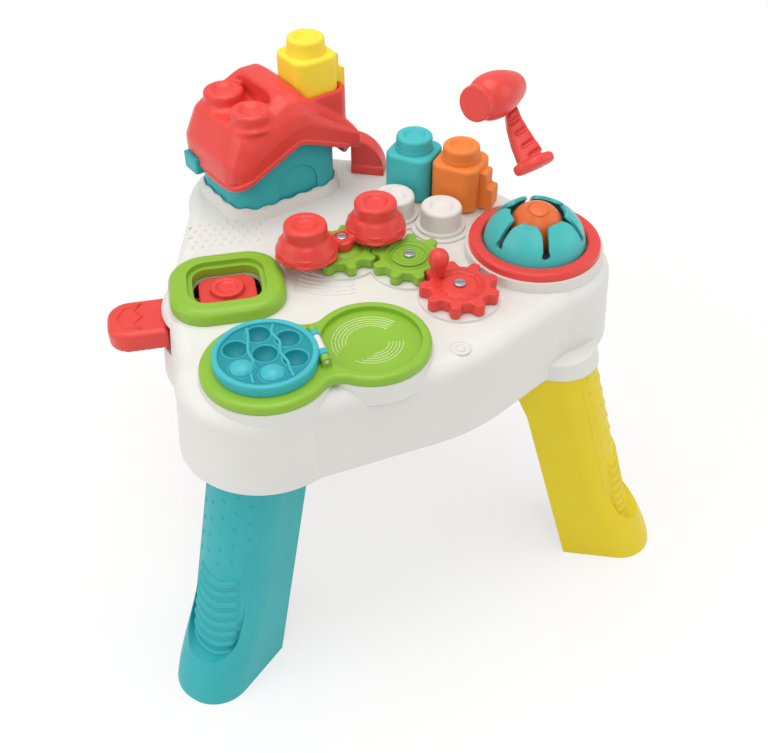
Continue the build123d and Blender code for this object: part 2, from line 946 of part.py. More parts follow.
# House walls: open box with gables, a door recess and a latch tab
house_base = deck_height + house_plinth_height
gable_line = [
    (-house_width, house_base + eave_height - (gable_height - eave_height)),
    (-house_width / 2, house_base + eave_height),
    (gable_shift, house_base + gable_height),
    (house_width / 2, house_base + eave_height),
    (house_width, house_base + eave_height - (gable_height - eave_height)),
    (house_width, house_base + 2 * gable_height),
    (-house_width, house_base + 2 * gable_height),
]
hinge_middle = beside(house_x, house_y, house_turn, hinge_x, 0)
hinge_level = deck_height + hinge_z
with BuildPart() as house_walls:
    with BuildSketch(spot(house_x, house_y, house_base, house_turn)):
        RectangleRounded(house_width, house_depth, house_corner)
    extrude(amount=gable_height)
    with BuildSketch(spot(house_x, house_y, house_base + house_wall, house_turn)):
        RectangleRounded(
            house_width - 2 * house_wall,
            house_depth - 2 * house_wall,
            house_corner - house_wall,
        )
    extrude(amount=gable_height, mode=Mode.SUBTRACT)
    with BuildSketch(upright(house_x, house_y, 0, house_turn)):
        with BuildLine():
            Polyline(*gable_line, close=True)
        make_face()
    extrude(amount=house_depth, both=True, mode=Mode.SUBTRACT)
    front_middle = beside(house_x, house_y, house_turn, gable_shift, -house_depth / 2)
    with BuildSketch(upright(front_middle[0], front_middle[1], house_base, house_turn)):
        Rectangle(door_width, door_height - door_width / 2, align=(Align.CENTER, Align.MIN))
        with Locations((0, door_height - door_width / 2)):
            Circle(door_width / 2)
    extrude(amount=-door_depth, mode=Mode.SUBTRACT)
    latch_middle = beside(house_x, house_y, house_turn, -house_width / 2 + house_wall / 2, latch_place)
    with BuildSketch(spot(latch_middle[0], latch_middle[1], deck_height + latch_low, house_turn)) as latch:
        Rectangle(latch_reach + house_wall / 2, latch_width, align=(Align.MAX, Align.CENTER))
        fillet(latch.vertices().sort_by(Axis.X)[:2], latch_round)
    extrude(amount=latch_high - latch_low)
    for side in (-1, 1):
        inner = side * hinge_place + hinge_knuckle_length / 2
        knuckle = beside(house_x, house_y, house_turn, hinge_x, inner)
        with BuildSketch(upright(knuckle[0], knuckle[1], hinge_level, house_turn)):
            Circle(hinge_knuckle_radius)
            Rectangle(
                hinge_x - house_width / 2 + house_wall / 2,
                hinge_knuckle_radius,
                align=(Align.MAX, Align.CENTER),
            )
            Circle(hinge_pin_radius + pin_gap, mode=Mode.SUBTRACT)
        extrude(amount=hinge_knuckle_length)
house_walls.part.label = "house_walls"
export_step(house_walls.part, "parts/house_walls.step")

# House roof: hollow lid with a stud platform, a ridge and a chimney stand
roof_length = roof_back - roof_front
slope_share = (ridge_height - platform_height) / (ridge_height - roof_right_high)
slope_x = ridge_right + (roof_right - ridge_right) * slope_share
# Each corner of a section: across, height at the gable, full height, corner share, rounding
roof_corners = [
    (roof_left, roof_left_low, roof_left_low, 1, 0),
    (roof_left, fascia_left_high, roof_left_high, 1, roof_round),
    (platform_left, fascia_shoulder_high, platform_height, 1, roof_round),
    (ridge_left, fascia_ridge_high, ridge_height, 0, ridge_round),
    (ridge_right, fascia_ridge_high, ridge_height, 0, ridge_round),
    (roof_right, fascia_right_high, roof_right_high, 0, fascia_round),
    (roof_right, roof_right_low, roof_right_low, 0, 0),
]
roof_inside = [
    (roof_left + roof_wall, roof_left_low - overrun),
    (roof_left + roof_wall, roof_left_high - roof_wall),
    (platform_left + roof_wall, platform_height - roof_wall),
    (slope_x - roof_wall, platform_height - roof_wall),
    (roof_right - roof_wall, roof_right_high - roof_wall / 2),
    (roof_right - roof_wall, roof_left_low - overrun),
]
roof_gable = [
    (roof_left + roof_wall, roof_left_low - overrun),
    (roof_left + roof_wall, roof_left_low + roof_wall),
    (gable_shift, house_plinth_height + gable_height - gable_gap),
    (roof_right - roof_wall, roof_right_low),
    (roof_right - roof_wall, roof_left_low - overrun),
]
roof_seat = [
    (roof_left + roof_wall, roof_left_low - overrun),
    (roof_left + roof_wall, house_plinth_height + eave_height),
    (-house_width / 2, house_plinth_height + eave_height + gable_gap),
    (gable_shift, house_plinth_height + gable_height + gable_gap),
    (house_width / 2, house_plinth_height + eave_height + gable_gap),
    (roof_right - roof_wall, house_plinth_height + eave_height),
    (roof_right - roof_wall, roof_left_low - overrun),
]


def roof_plane(across):
    """Upright plane across the house at one depth of the roof."""
    place = beside(house_x, house_y, house_turn, 0, across)
    return upright(place[0], place[1], deck_height, house_turn)


def rounded_outline(plane, corners):
    """Closed outline through corners, each given with its rounding."""
    with BuildSketch(plane) as outline:
        with BuildLine():
            Polyline(*[(x, y) for x, y, rounding in corners], close=True)
        make_face()
        for x, y, rounding in corners:
            if rounding > 0:
                fillet(outline.vertices().sort_by_distance((x, y, 0))[0], rounding)
    return outline.sketch


def roof_section(place, rise, corner):
    """Outline of the roof at one place of its depth."""
    points = []
    for x, gable, full, side, rounding in roof_corners:
        points.append((x + side * corner * roof_corner, gable + rise * (full - gable), rounding))
    return rounded_outline(roof_plane(roof_front + place * roof_length), points)


with BuildPart() as house_roof:
    roof_steps = zip(roof_place_shares, roof_rise_shares, roof_corner_shares)
    loft([roof_section(place, rise, corner) for place, rise, corner in roof_steps], ruled=True)
    # Platform for the studs, cut into the left slope
    pocket_middle = beside(house_x, house_y, house_turn, pocket_right, (pocket_front + pocket_back) / 2)
    pocket_level = deck_height + platform_height
    with BuildSketch(spot(pocket_middle[0], pocket_middle[1], pocket_level, house_turn)) as pocket:
        Rectangle(
            pocket_right - roof_left + overrun,
            pocket_back - pocket_front,
            align=(Align.MAX, Align.CENTER),
        )
        fillet(pocket.vertices().sort_by(Axis.X)[-2:], pocket_round)
    extrude(amount=ridge_height, mode=Mode.SUBTRACT)
    # Chimney stand with a pocket for a block and a slot for its fin
    chimney_spot = beside(house_x, house_y, house_turn, chimney_x, chimney_y)
    chimney_room = block_side + 2 * swing_gap
    with BuildSketch(spot(chimney_spot[0], chimney_spot[1], deck_height + roof_right_high, house_turn)):
        RectangleRounded(chimney_side, chimney_side, chimney_corner)
    extrude(amount=chimney_height + chimney_rim - roof_right_high)
    with BuildSketch(spot(chimney_spot[0], chimney_spot[1], deck_height + chimney_height, house_turn)):
        RectangleRounded(chimney_room, chimney_room, block_corner)
        Rectangle(chimney_side, fin_width + 2 * swing_gap, align=(Align.MIN, Align.CENTER))
    extrude(amount=ridge_height, mode=Mode.SUBTRACT)
    # Hollow inside and the way in for the gables
    for outline, front, back in (
        (roof_inside, hollow_front, hollow_back),
        (roof_seat, roof_front + 2 * roof_wall, roof_back - roof_wall),
        (roof_gable, roof_front, roof_back),
    ):
        with BuildSketch(roof_plane(front)):
            with BuildLine():
                Polyline(*outline, close=True)
            make_face()
        extrude(amount=front - back, mode=Mode.SUBTRACT)
    for across in (roof_stud_front, roof_stud_back):
        stud_spot = beside(house_x, house_y, house_turn, roof_stud_x, across)
        add(
            Pos(frame_x + stud_spot[0], frame_y + stud_spot[1], deck_height)
            * stud(
                platform_height - roof_wall / 2,
                stud_base_radius,
                roof_stud_base,
                stud_radius,
                roof_stud_height,
            )
        )
    add(
        Pos(frame_x + chimney_spot[0], frame_y + chimney_spot[1], deck_height)
        * stud(chimney_height - roof_wall / 2, stud_base_radius, roof_wall / 2, stud_radius, stud_height)
    )
    notch_spot = beside(house_x, house_y, house_turn, roof_left, latch_place)
    with BuildSketch(spot(notch_spot[0], notch_spot[1], deck_height + roof_left_low - overrun, house_turn)):
        Rectangle(2 * roof_wall + overrun, latch_width + 2 * swing_gap)
    extrude(amount=latch_high - roof_left_low + overrun + swing_gap, mode=Mode.SUBTRACT)
    for side in (-1, 1):
        outer = side * (hinge_place + hinge_knuckle_length + 2 * seat_gap) + hinge_knuckle_length / 2
        knuckle = beside(house_x, house_y, house_turn, hinge_x, outer)
        with BuildSketch(upright(knuckle[0], knuckle[1], hinge_level, house_turn)):
            Circle(hinge_knuckle_radius)
            Rectangle(
                roof_right - roof_wall / 2 - hinge_x,
                roof_right_low + roof_wall - hinge_z,
                align=(Align.MIN, Align.MIN),
            )
            Circle(hinge_pin_radius + pin_gap, mode=Mode.SUBTRACT)
        extrude(amount=hinge_knuckle_length)
house_roof.part.label = "house_roof"
export_step(house_roof.part, "parts/house_roof.step")

# Pin of the roof hinge
with BuildPart() as roof_hinge_pin:
    with BuildSketch(upright(hinge_middle[0], hinge_middle[1], hinge_level, house_turn)):
        Circle(hinge_pin_radius)
    extrude(amount=hinge_place + hinge_knuckle_length * 3 / 2 + 2 * seat_gap, both=True)
roof_hinge_pin.part.label = "roof_hinge_pin"
export_step(roof_hinge_pin.part, "parts/roof_hinge_pin.step")

# Slide beside the house
with BuildPart() as house_slide:
    with BuildSketch(upright(slide_x, slide_y, deck_height, slide_turn)):
        Ellipse(slide_reach, slide_height)
        Rectangle(slide_reach, slide_height, align=(Align.MIN, Align.MIN), mode=Mode.INTERSECT)
    extrude(amount=-slide_depth)
    fillet(house_slide.edges().filter_by(GeomType.ELLIPSE), slide_round)
    with BuildSketch(upright(slide_x, slide_y, deck_height, slide_turn)):
        Rectangle(slide_reach, slide_lip_height, align=(Align.MIN, Align.MIN))
    extrude(amount=slide_lip)
house_slide.part.label = "house_slide"
export_step(house_slide.part, "parts/house_slide.step")

# Stacking blocks
block_shape = block()
roof_block = beside(house_x, house_y, house_turn, chimney_x, chimney_y)
for name, x, y, z, turn in (
    ("block_yellow", roof_block[0], roof_block[1], deck_height + chimney_height, house_turn),
    ("block_teal", teal_x, teal_y, deck_height + stud_base_height, block_turn + 90),
    ("block_orange", orange_x, orange_y, deck_height + stud_base_height, block_turn),
):
    placed_block = Pos(frame_x + x, frame_y + y, z) * Rot(0, 0, turn) * block_shape
    placed_block.label = name
    export_step(placed_block, "parts/" + name + ".step")

# Launcher frame
with BuildPart() as launcher_frame:
    with BuildSketch(spot(launcher_x, launcher_y, deck_height, launcher_turn)):
        RectangleRounded(frame_length, frame_width, frame_corner)
    extrude(amount=frame_height)
    fillet(launcher_frame.faces().sort_by(Axis.Z)[-1].edges(), frame_round)
    with BuildSketch(spot(launcher_x, launcher_y, deck_height, launcher_turn)):
        RectangleRounded(window_length, window_width, window_corner)
    extrude(amount=frame_height, mode=Mode.SUBTRACT)
    with BuildSketch(spot(launcher_x, launcher_y, deck_height + frame_height, launcher_turn)):
        RectangleRounded(
            window_length + 2 * window_step,
            window_width + 2 * window_step,
            window_corner + window_step,
        )
    extrude(amount=-window_step_depth, mode=Mode.SUBTRACT)
launcher_frame.part.label = "launcher_frame"
export_step(launcher_frame.part, "parts/launcher_frame.step")

# Launcher lever: pad, bar and tongue on one see-saw
with BuildPart() as launcher_lever:
    with BuildSketch(spot(launcher_x, launcher_y, deck_height + tongue_low, launcher_turn)):
        with Locations((-tongue_reach, 0)):
            Rectangle(tongue_reach - tongue_start, tongue_width, align=(Align.MIN, Align.CENTER))
    extrude(amount=tongue_high - tongue_low)
    tongue_ends = launcher_lever.edges().filter_by(Axis.Z).sort_by(Axis.X)[:2]
    fillet(tongue_ends, tongue_width / 2 - tongue_round)
    fillet(launcher_lever.faces().sort_by(Axis.Z)[-1].edges(), tongue_round)
    with BuildSketch(spot(launcher_x, launcher_y, deck_height + lever_bar_low, launcher_turn)):
        with Locations((-tongue_start - tongue_round, 0)):
            Rectangle(
                tongue_start + tongue_round + pad_length / 4,
                lever_bar_width,
                align=(Align.MIN, Align.CENTER),
            )
    extrude(amount=lever_bar_high - lever_bar_low)
    with BuildSketch(spot(launcher_x, launcher_y, deck_height + pad_low, launcher_turn)):
        RectangleRounded(pad_length, pad_width, pad_corner)
    extrude(amount=pad_high - pad_low)
    with BuildSketch(spot(launcher_x, launcher_y, deck_height + pad_high, launcher_turn)):
        Circle(pad_stud_radius)
    extrude(amount=pad_stud_height)
    with BuildSketch(spot(launcher_x, launcher_y, deck_height + pad_high + pad_stud_height, launcher_turn)):
        Circle(pad_dimple_radius)
    extrude(amount=-pad_dimple_depth, mode=Mode.SUBTRACT)
    with BuildSketch(upright(pin_middle[0], pin_middle[1], deck_height + lever_pivot_z, launcher_turn)):
        Circle(lever_pin_radius + pin_gap)
    extrude(amount=lever_bar_width, both=True, mode=Mode.SUBTRACT)
launcher_lever.part.label = "launcher_lever"
export_step(launcher_lever.part, "parts/launcher_lever.step")

# Pin of the lever
with BuildPart() as launcher_pivot_pin:
    with BuildSketch(upright(pin_middle[0], pin_middle[1], deck_height + lever_pivot_z, launcher_turn)):
        Circle(lever_pin_radius)
    extrude(amount=lever_bar_width / 2 + swing_gap + ear_width + lever_pin_over, both=True)
launcher_pivot_pin.part.label = "launcher_pivot_pin"
export_step(launcher_pivot_pin.part, "parts/launcher_pivot_pin.step")

# Flip tray with lugs for the hinge
knuckle_start = sleeve_length / 2 + lug_gap
lug_start = knuckle_start + knuckle_length + lug_gap
flip_level = deck_height + flip_axis_z
axis_spot = beside(flip_x, flip_y, flip_turn, flip_axis, 0)
with BuildPart() as flip_tray:
    with BuildSketch(spot(flip_x, flip_y, deck_height + tray_plinth_height, flip_turn)) as tray_outline:
        Circle(tray_disc_radius)
        with Locations((flip_pitch, 0)):
            Circle(tray_dish_radius)
        waist = tray_outline.vertices().filter_by_position(Axis.X, flip_axis / 2, flip_axis * 3 / 2)
        fillet(waist, tray_waist_round)
    extrude(amount=tray_high - tray_plinth_height)
    fillet(flip_tray.faces().sort_by(Axis.Z)[-1].edges(), tray_round)
    with BuildSketch(spot(flip_x, flip_y, deck_height + disc_seat_low, flip_turn)):
        Circle(disc_seat_radius)
    extrude(amount=tray_high, mode=Mode.SUBTRACT)
    with BuildSketch(spot(flip_x, flip_y, deck_height + dish_low, flip_turn)):
        with Locations((flip_pitch, 0)):
            Circle(dish_radius)
        with Locations((flip_axis, 0)):
            Rectangle(2 * hinge_pocket, 2 * lug_start)
    extrude(amount=tray_high, mode=Mode.SUBTRACT)
    for side in (-1, 1):
        lug_across = side * (lug_start + lug_length / 2) + lug_length / 2
        lug_spot = beside(flip_x, flip_y, flip_turn, flip_axis, lug_across)
        with BuildSketch(upright(lug_spot[0], lug_spot[1], deck_height, flip_turn)):
            with Locations((0, tray_plinth_height)):
                Rectangle(lug_width, flip_axis_z - tray_plinth_height, align=(Align.CENTER, Align.MIN))
            with Locations((0, flip_axis_z)):
                Circle(lug_width / 2)
                Circle(flip_pin_radius + pin_gap, mode=Mode.SUBTRACT)
        extrude(amount=lug_length)
flip_tray.part.label = "flip_tray"
export_step(flip_tray.part, "parts/flip_tray.step")

# Ring of the pop-it disc, with a groove for the sheet and two hinge knuckles
ring_inner_radius = disc_radius - disc_ring
sheet_radius = disc_radius - disc_ring / 2
with BuildPart() as popit_rim:
    with BuildSketch(spot(flip_x, flip_y, deck_height + disc_low, flip_turn)):
        Circle(disc_radius)
        Circle(ring_inner_radius, mode=Mode.SUBTRACT)
    extrude(amount=disc_high - disc_low)
    fillet(popit_rim.faces().sort_by(Axis.Z)[-1].edges(), disc_ring_round)
    for side in (-1, 1):
        arm_across = side * (knuckle_start + knuckle_length / 2) + knuckle_length / 2
        arm_spot = beside(flip_x, flip_y, flip_turn, flip_axis, arm_across)
        with BuildSketch(upright(arm_spot[0], arm_spot[1], flip_level, flip_turn)):
            Circle(knuckle_radius)
            Rectangle(flip_axis - disc_radius + disc_ring, knuckle_radius, align=(Align.MAX, Align.CENTER))
            Circle(flip_pin_radius + pin_gap, mode=Mode.SUBTRACT)
        extrude(amount=knuckle_length)
    with BuildSketch(spot(flip_x, flip_y, deck_height + sheet_low - pin_gap, flip_turn)):
        Circle(sheet_radius + pin_gap)
    extrude(amount=sheet_high - sheet_low + 2 * pin_gap, mode=Mode.SUBTRACT)
    with BuildSketch(upright(axis_spot[0], axis_spot[1], flip_level, flip_turn)):
        Circle(sleeve_radius + swing_gap)
    extrude(amount=knuckle_start, both=True, mode=Mode.SUBTRACT)
popit_rim.part.label = "popit_rim"
export_step(popit_rim.part, "parts/popit_rim.step")

# Soft sheet with bubbles pressed down and two popped up
bubble_spots = [(0, 0, -1)]
for index in range(bubble_count):
    bubble_x, bubble_y = beside(0, 0, bubble_turn + index * 360 / bubble_count, bubble_ring_radius, 0)
    bubble_spots.append((bubble_x, bubble_y, 1 if index in (bubble_up_one, bubble_up_two) else -1))


def bubble_cap(way):
    """Cap of a bubble on the sheet, popped up or pressed down, at the origin."""
    rise = bubble_rise if way > 0 else well_depth
    radius = (bubble_radius**2 + rise**2) / (2 * rise)
    middle = (sheet_high + rise - radius) if way > 0 else (sheet_low - rise + radius)
    with BuildPart() as cap:
        with BuildSketch(Plane.XY.offset(sheet_low if way > 0 else sheet_high)):
            Circle(bubble_radius)
        extrude(amount=way * (rise + sheet_high - sheet_low))
        with Locations((0, 0, middle)):
            Sphere(radius, mode=Mode.INTERSECT)
    with BuildPart() as room:
        with Locations((0, 0, middle)):
            Sphere(radius - bubble_wall)
    return cap.part, room.part


cap_up, room_up = bubble_cap(1)
cap_down, room_down = bubble_cap(-1)
with BuildPart() as popit_sheet:
    with BuildSketch(spot(flip_x, flip_y, deck_height + sheet_low)):
        Circle(sheet_radius)
    extrude(amount=sheet_high - sheet_low)
    for x, y, way in bubble_spots:
        cap = cap_up if way > 0 else cap_down
        add(Pos(frame_x + flip_x + x, frame_y + flip_y + y, deck_height) * cap)
    for x, y, way in bubble_spots:
        room = room_up if way > 0 else room_down
        add(Pos(frame_x + flip_x + x, frame_y + flip_y + y, deck_height) * room, mode=Mode.SUBTRACT)
popit_sheet.part.label = "popit_sheet"
export_step(popit_sheet.part, "parts/popit_sheet.step")

# Pin of the flip hinge with its sleeve
with BuildPart() as flip_hinge_pin:
    with BuildSketch(upright(axis_spot[0], axis_spot[1], flip_level, flip_turn)):
        Circle(flip_pin_radius)
    extrude(amount=lug_start + lug_length, both=True)
    with BuildSketch(upright(axis_spot[0], axis_spot[1], flip_level, flip_turn)):
        Circle(sleeve_radius)
    extrude(amount=sleeve_length / 2, both=True)
flip_hinge_pin.part.label = "flip_hinge_pin"
export_step(flip_hinge_pin.part, "parts/flip_hinge_pin.step")

# Gears
knob_x, knob_y = beside(0, 0, knob_direction, knob_place, 0)
with BuildPart() as crank_wheel:
    add(gear(crank_phase, crank_high))
    with BuildSketch(Plane.XY.offset(crank_high)):
        with Locations((knob_x, knob_y)):
            Circle(knob_peg_radius + pin_gap)
    extrude(amount=-knob_peg_depth - pin_gap, mode=Mode.SUBTRACT)
for name, x, y, shape in (
    ("crank_gear", crank_x, crank_y, crank_wheel.part),
    ("idler_gear", idler_x, idler_y, gear(idler_phase, gear_high)),
    ("carousel_gear", wheel_x, wheel_y, gear(wheel_phase, gear_high)),
):
    placed_gear = Pos(frame_x + x, frame_y + y, deck_height) * shape
    placed_gear.label = name
    export_step(placed_gear, "parts/" + name + ".step")

# Screws that hold the gears on their posts
with BuildPart() as post_screw:
    add(screw(gear_screw_head, gear_screw_rise, gear_screw_radius, gear_screw_length))
    with BuildSketch(Plane.XY.offset(gear_screw_rise)):
        Rectangle(2 * gear_screw_head, gear_screw_slot)
    extrude(amount=-gear_screw_slot_depth, mode=Mode.SUBTRACT)
with BuildPart() as gear_screws:
    for x, y, high in posts:
        add(Pos(frame_x + x, frame_y + y, deck_height + high + post_over) * post_screw.part)
gear_screws.part.label = "gear_screws"
export_step(gear_screws.part, "parts/gear_screws.step")

# Egg-shaped knob with its peg
with BuildPart() as knob:
    with BuildSketch(Plane.XZ):
        with BuildLine():
            Line((0, 0), (knob_neck_radius, 0))
            Spline(
                (knob_neck_radius, 0),
                (knob_radius, knob_belly),
                (0, knob_height),
                tangents=((0, 1), (-1, 0)),
            )
            Line((0, knob_height), (0, 0))
        make_face()
    revolve(axis=Axis.Z)
    with BuildSketch():
        Circle(knob_peg_radius)
    extrude(amount=-knob_peg_depth)
knob_level = deck_height + crank_high
placed_knob = Pos(frame_x + crank_x + knob_x, frame_y + crank_y + knob_y, knob_level) * knob.part
placed_knob.label = "crank_knob"
export_step(placed_knob, "parts/crank_knob.step")

# Carousel: a bar with a hat at each end, on the hub of its gear
hat_stud = hat_low + hat_cone_height
with BuildPart() as hat:
    with BuildSketch(Plane.XZ):
        with BuildLine():
            Polyline(
                (0, hat_low),
                (hat_brim_radius, hat_low),
                (hat_brim_radius, hat_low + hat_brim_height),
                (hat_shoulder_radius, hat_low + hat_shoulder_height),
                (stud_radius, hat_stud),
                (stud_radius, hat_high - stud_round),
            )
            RadiusArc((stud_radius, hat_high - stud_round), (stud_radius - stud_round, hat_high), -stud_round)
            Polyline(
                (stud_radius - stud_round, hat_high),
                (stud_dimple_radius, hat_high),
                (stud_dimple_radius - stud_dimple_depth, hat_high - stud_dimple_depth),
                (0, hat_high - stud_dimple_depth),
                (0, hat_low),
            )
        make_face()
    revolve(axis=Axis.Z)
with BuildPart() as carousel:
    with BuildSketch(spot(wheel_x, wheel_y, deck_height + hat_low, carousel_turn)):
        Rectangle(2 * hat_place, bar_width)
    extrude(amount=bar_high - hat_low)
    fillet(carousel.faces().sort_by(Axis.Z)[-1].edges(), bar_round)
    for side in (-1, 1):
        hat_spot = beside(wheel_x, wheel_y, carousel_turn, side * hat_place, 0)
        add(Pos(frame_x + hat_spot[0], frame_y + hat_spot[1], deck_height) * hat.part)
    with BuildSketch(spot(wheel_x, wheel_y, deck_height + gear_high)):
        Circle(carousel_hub_radius)
    extrude(amount=bar_high - gear_high - bar_round)
    with BuildSketch(spot(wheel_x, wheel_y, deck_height + gear_high)):
        Circle(post_radius + pin_gap)
    extrude(amount=hat_high, mode=Mode.SUBTRACT)
    with BuildSketch(spot(wheel_x, wheel_y, deck_height + carousel_seat)):
        Circle(gear_screw_head + 2 * seat_gap)
    extrude(amount=hat_high, mode=Mode.SUBTRACT)
carousel.part.label = "carousel"
export_step(carousel.part, "parts/carousel.step")

# Dome: ring, petals, ball and cup on the drum
drum_level = deck_height + drum_height
with BuildPart() as dome_bezel:
    with BuildSketch(spot(right_lobe_x, right_lobe_y, drum_level)):
        Circle(bezel_outer_radius)
        Circle(bezel_inner_radius, mode=Mode.SUBTRACT)
    extrude(amount=bezel_height)
    fillet(dome_bezel.faces().sort_by(Axis.Z)[-1].edges(), bezel_round)
dome_bezel.part.label = "dome_bezel"
export_step(dome_bezel.part, "parts/dome_bezel.step")

dome_tall = dome_rise / math.sqrt(1 - (dome_top_radius / dome_base_radius) ** 2)


def dome_radius(z):
    """Radius of the outside of the dome at one height."""
    return dome_base_radius * math.sqrt(1 - (z / dome_tall) ** 2)


with BuildPart() as dome_shell:
    with BuildSketch(Plane.XZ):
        with BuildLine():
            ThreePointArc(
                (dome_base_radius, 0),
                (dome_radius(dome_rise / 2), dome_rise / 2),
                (dome_top_radius, dome_rise),
            )
            Line((dome_top_radius, dome_rise), (dome_top_radius - dome_wall / 2, dome_rise - dome_wall))
            ThreePointArc(
                (dome_top_radius - dome_wall / 2, dome_rise - dome_wall),
                (dome_radius(dome_rise / 2) - dome_wall, dome_rise / 2 - dome_wall / 2),
                (dome_base_radius - dome_wall, 0),
            )
            Line((dome_base_radius - dome_wall, 0), (dome_base_radius, 0))
        make_face()
    revolve(axis=Axis.Z)
with BuildPart() as petal_dome:
    add(Pos(frame_x + right_lobe_x, frame_y + right_lobe_y, drum_level) * dome_shell.part)
    for petal in range(petal_count):
        petal_way = petal_turn + petal * 360 / petal_count
        with BuildSketch(upright(right_lobe_x, right_lobe_y, drum_level, petal_way + 90)):
            with Locations((0, dome_rise - slot_mouth_radius)):
                Rectangle(
                    slot_width + 2 * slot_mouth_radius,
                    slot_mouth_radius + overrun,
                    align=(Align.CENTER, Align.MIN),
                )
            shoulder = slot_width / 2 + slot_mouth_radius
            shoulder_z = dome_rise - slot_mouth_radius
            with Locations((shoulder, shoulder_z), (-shoulder, shoulder_z)):
                Circle(slot_mouth_radius, mode=Mode.SUBTRACT)
            with Locations((0, slot_hole_height)):
                Circle(slot_hole_radius)
                Rectangle(slot_width, dome_rise, align=(Align.CENTER, Align.MIN))
        extrude(amount=dome_base_radius + overrun, mode=Mode.SUBTRACT)
petal_dome.part.label = "petal_dome"
export_step(petal_dome.part, "parts/petal_dome.step")

with BuildPart() as ball:
    Sphere(ball_radius)
    with Locations((0, 0, math.sqrt(ball_radius**2 - ball_groove_radius**2))):
        Torus(ball_groove_radius, ball_groove_width / 2, mode=Mode.SUBTRACT)
ball_spot = Pos(frame_x + right_lobe_x, frame_y + right_lobe_y, deck_height + ball_centre)
placed_ball = ball_spot * Rot(ball_tilt, 0, 0) * ball.part
placed_ball.label = "dome_ball"
export_step(placed_ball, "parts/dome_ball.step")

with BuildPart() as ball_cup:
    with BuildSketch(spot(right_lobe_x, right_lobe_y, deck_height + pit_low)):
        Circle(ball_cup_radius)
    extrude(amount=ball_cup_high - pit_low)
    with Locations((frame_x + right_lobe_x, frame_y + right_lobe_y, deck_height + ball_centre)):
        Sphere(ball_radius + seat_gap, mode=Mode.SUBTRACT)
ball_cup.part.label = "ball_cup"
export_step(ball_cup.part, "parts/ball_cup.step")

# Hammer: a head turned about its own axis, on a grooved handle
lean = math.radians(hammer_lean)
hammer_plane = Plane(
    origin=(frame_x + hammer_x, frame_y + hammer_y, deck_height + hammer_rise),
    x_dir=(1, 0, 0),
    z_dir=(0, -math.cos(lean), math.sin(lean)),
)


def hammer_point(pixel):
    """Place on the plane of the hammer that a pixel of its outline stands for."""
    return ((pixel[0] - hammer_pixel_x) * hammer_pixel, (hammer_pixel_y - pixel[1]) * hammer_pixel)


with BuildPart() as head:
    with BuildSketch(Plane.XZ):
        with BuildLine():
            Polyline(
                (0, 0),
                (face_radius, 0),
                (face_radius, face_length),
                (collar_radius, face_length),
                (collar_radius, face_length + collar_length),
            )
            Spline(
                (collar_radius, face_length + collar_length),
                (belly_radius, belly_place),
                (tail_radius, tail_place),
                (0, head_length),
                tangents=((1, 1), (-1, 0)),
            )
            Line((0, head_length), (0, 0))
        make_face()
    revolve(axis=Axis.Z)
head_spin = Rot(0, 0, head_turn) * Rot(0, 90 - head_yaw, 0) * Rot(180, 0, 0)
head_way = Pos(head_tail_x, head_tail_y, 0) * head_spin
with BuildPart() as foot:
    with BuildSketch():
        Ellipse(foot_depth, foot_width)
    extrude(amount=foot_thickness / 2, both=True)
    fillet(foot.edges().filter_by(GeomType.ELLIPSE), foot_edge)
foot_x, foot_y = hammer_point(foot_pixel)
foot_way = Pos(foot_x, foot_y, 0) * Rot(0, 0, foot_turn) * Rot(0, 90, 0)
with BuildPart() as hammer:
    with BuildSketch(hammer_plane):
        with BuildLine():
            Polyline(*[hammer_point(pixel) for pixel in handle_pixels], close=True)
        make_face()
    extrude(amount=handle_thickness / 2, both=True)
    fillet(hammer.faces().filter_by(hammer_plane).edges(), handle_round)
    add(hammer_plane.location * foot_way * foot.part)
    add(hammer_plane.location * head_way * Pos(0, 0, -head_length) * head.part)
    for pixel in groove_pixels:
        groove_x, groove_y = hammer_point(pixel)
        with BuildSketch(hammer_plane.offset(handle_thickness / 2)):
            with Locations(Location((groove_x, groove_y, 0), (0, 0, groove_turn))):
                SlotOverall(groove_length, groove_width)
        extrude(amount=-groove_depth, mode=Mode.SUBTRACT)
hammer.part.label = "hammer"
export_step(hammer.part, "parts/hammer.step")
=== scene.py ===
"""Looks of a toddler activity table: finishes for its mouldings, raised details, studio and camera."""
import logging
import math
from collections.abc import Iterable
from dataclasses import dataclass, field
from enum import Enum
from typing import Protocol

import bmesh
import bpy
from mathutils import Matrix, Vector
from mathutils.bvhtree import BVHTree


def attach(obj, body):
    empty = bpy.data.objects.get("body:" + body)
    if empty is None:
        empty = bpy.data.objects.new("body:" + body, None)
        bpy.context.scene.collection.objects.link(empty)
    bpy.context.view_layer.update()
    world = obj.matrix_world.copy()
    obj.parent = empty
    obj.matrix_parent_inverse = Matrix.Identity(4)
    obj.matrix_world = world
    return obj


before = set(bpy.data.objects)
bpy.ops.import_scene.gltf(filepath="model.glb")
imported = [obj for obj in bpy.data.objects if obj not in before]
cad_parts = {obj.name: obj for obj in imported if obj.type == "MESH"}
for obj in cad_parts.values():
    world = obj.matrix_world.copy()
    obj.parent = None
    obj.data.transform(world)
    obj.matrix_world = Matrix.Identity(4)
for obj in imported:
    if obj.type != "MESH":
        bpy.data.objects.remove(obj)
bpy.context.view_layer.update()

MM = 0.001
# Places below are millimetres of the table's layout; this shift takes them to the shared frame.
SHIFT_X = -25.347
SHIFT_Y = -4.679
DECK = 300.0
APRON_BASE = 230.0
# Points of a surface that lie closer than this many millimetres are one point.
WELD_GAP = 0.01
# Share of the way to its neighbours that a point goes in a round of smoothing.
EASE_FACTOR = 0.5
# Sides of a bead's round section, and the share of its radius that is left at its ends.
BEAD_SIDES = 8
BEAD_TIP = 0.35
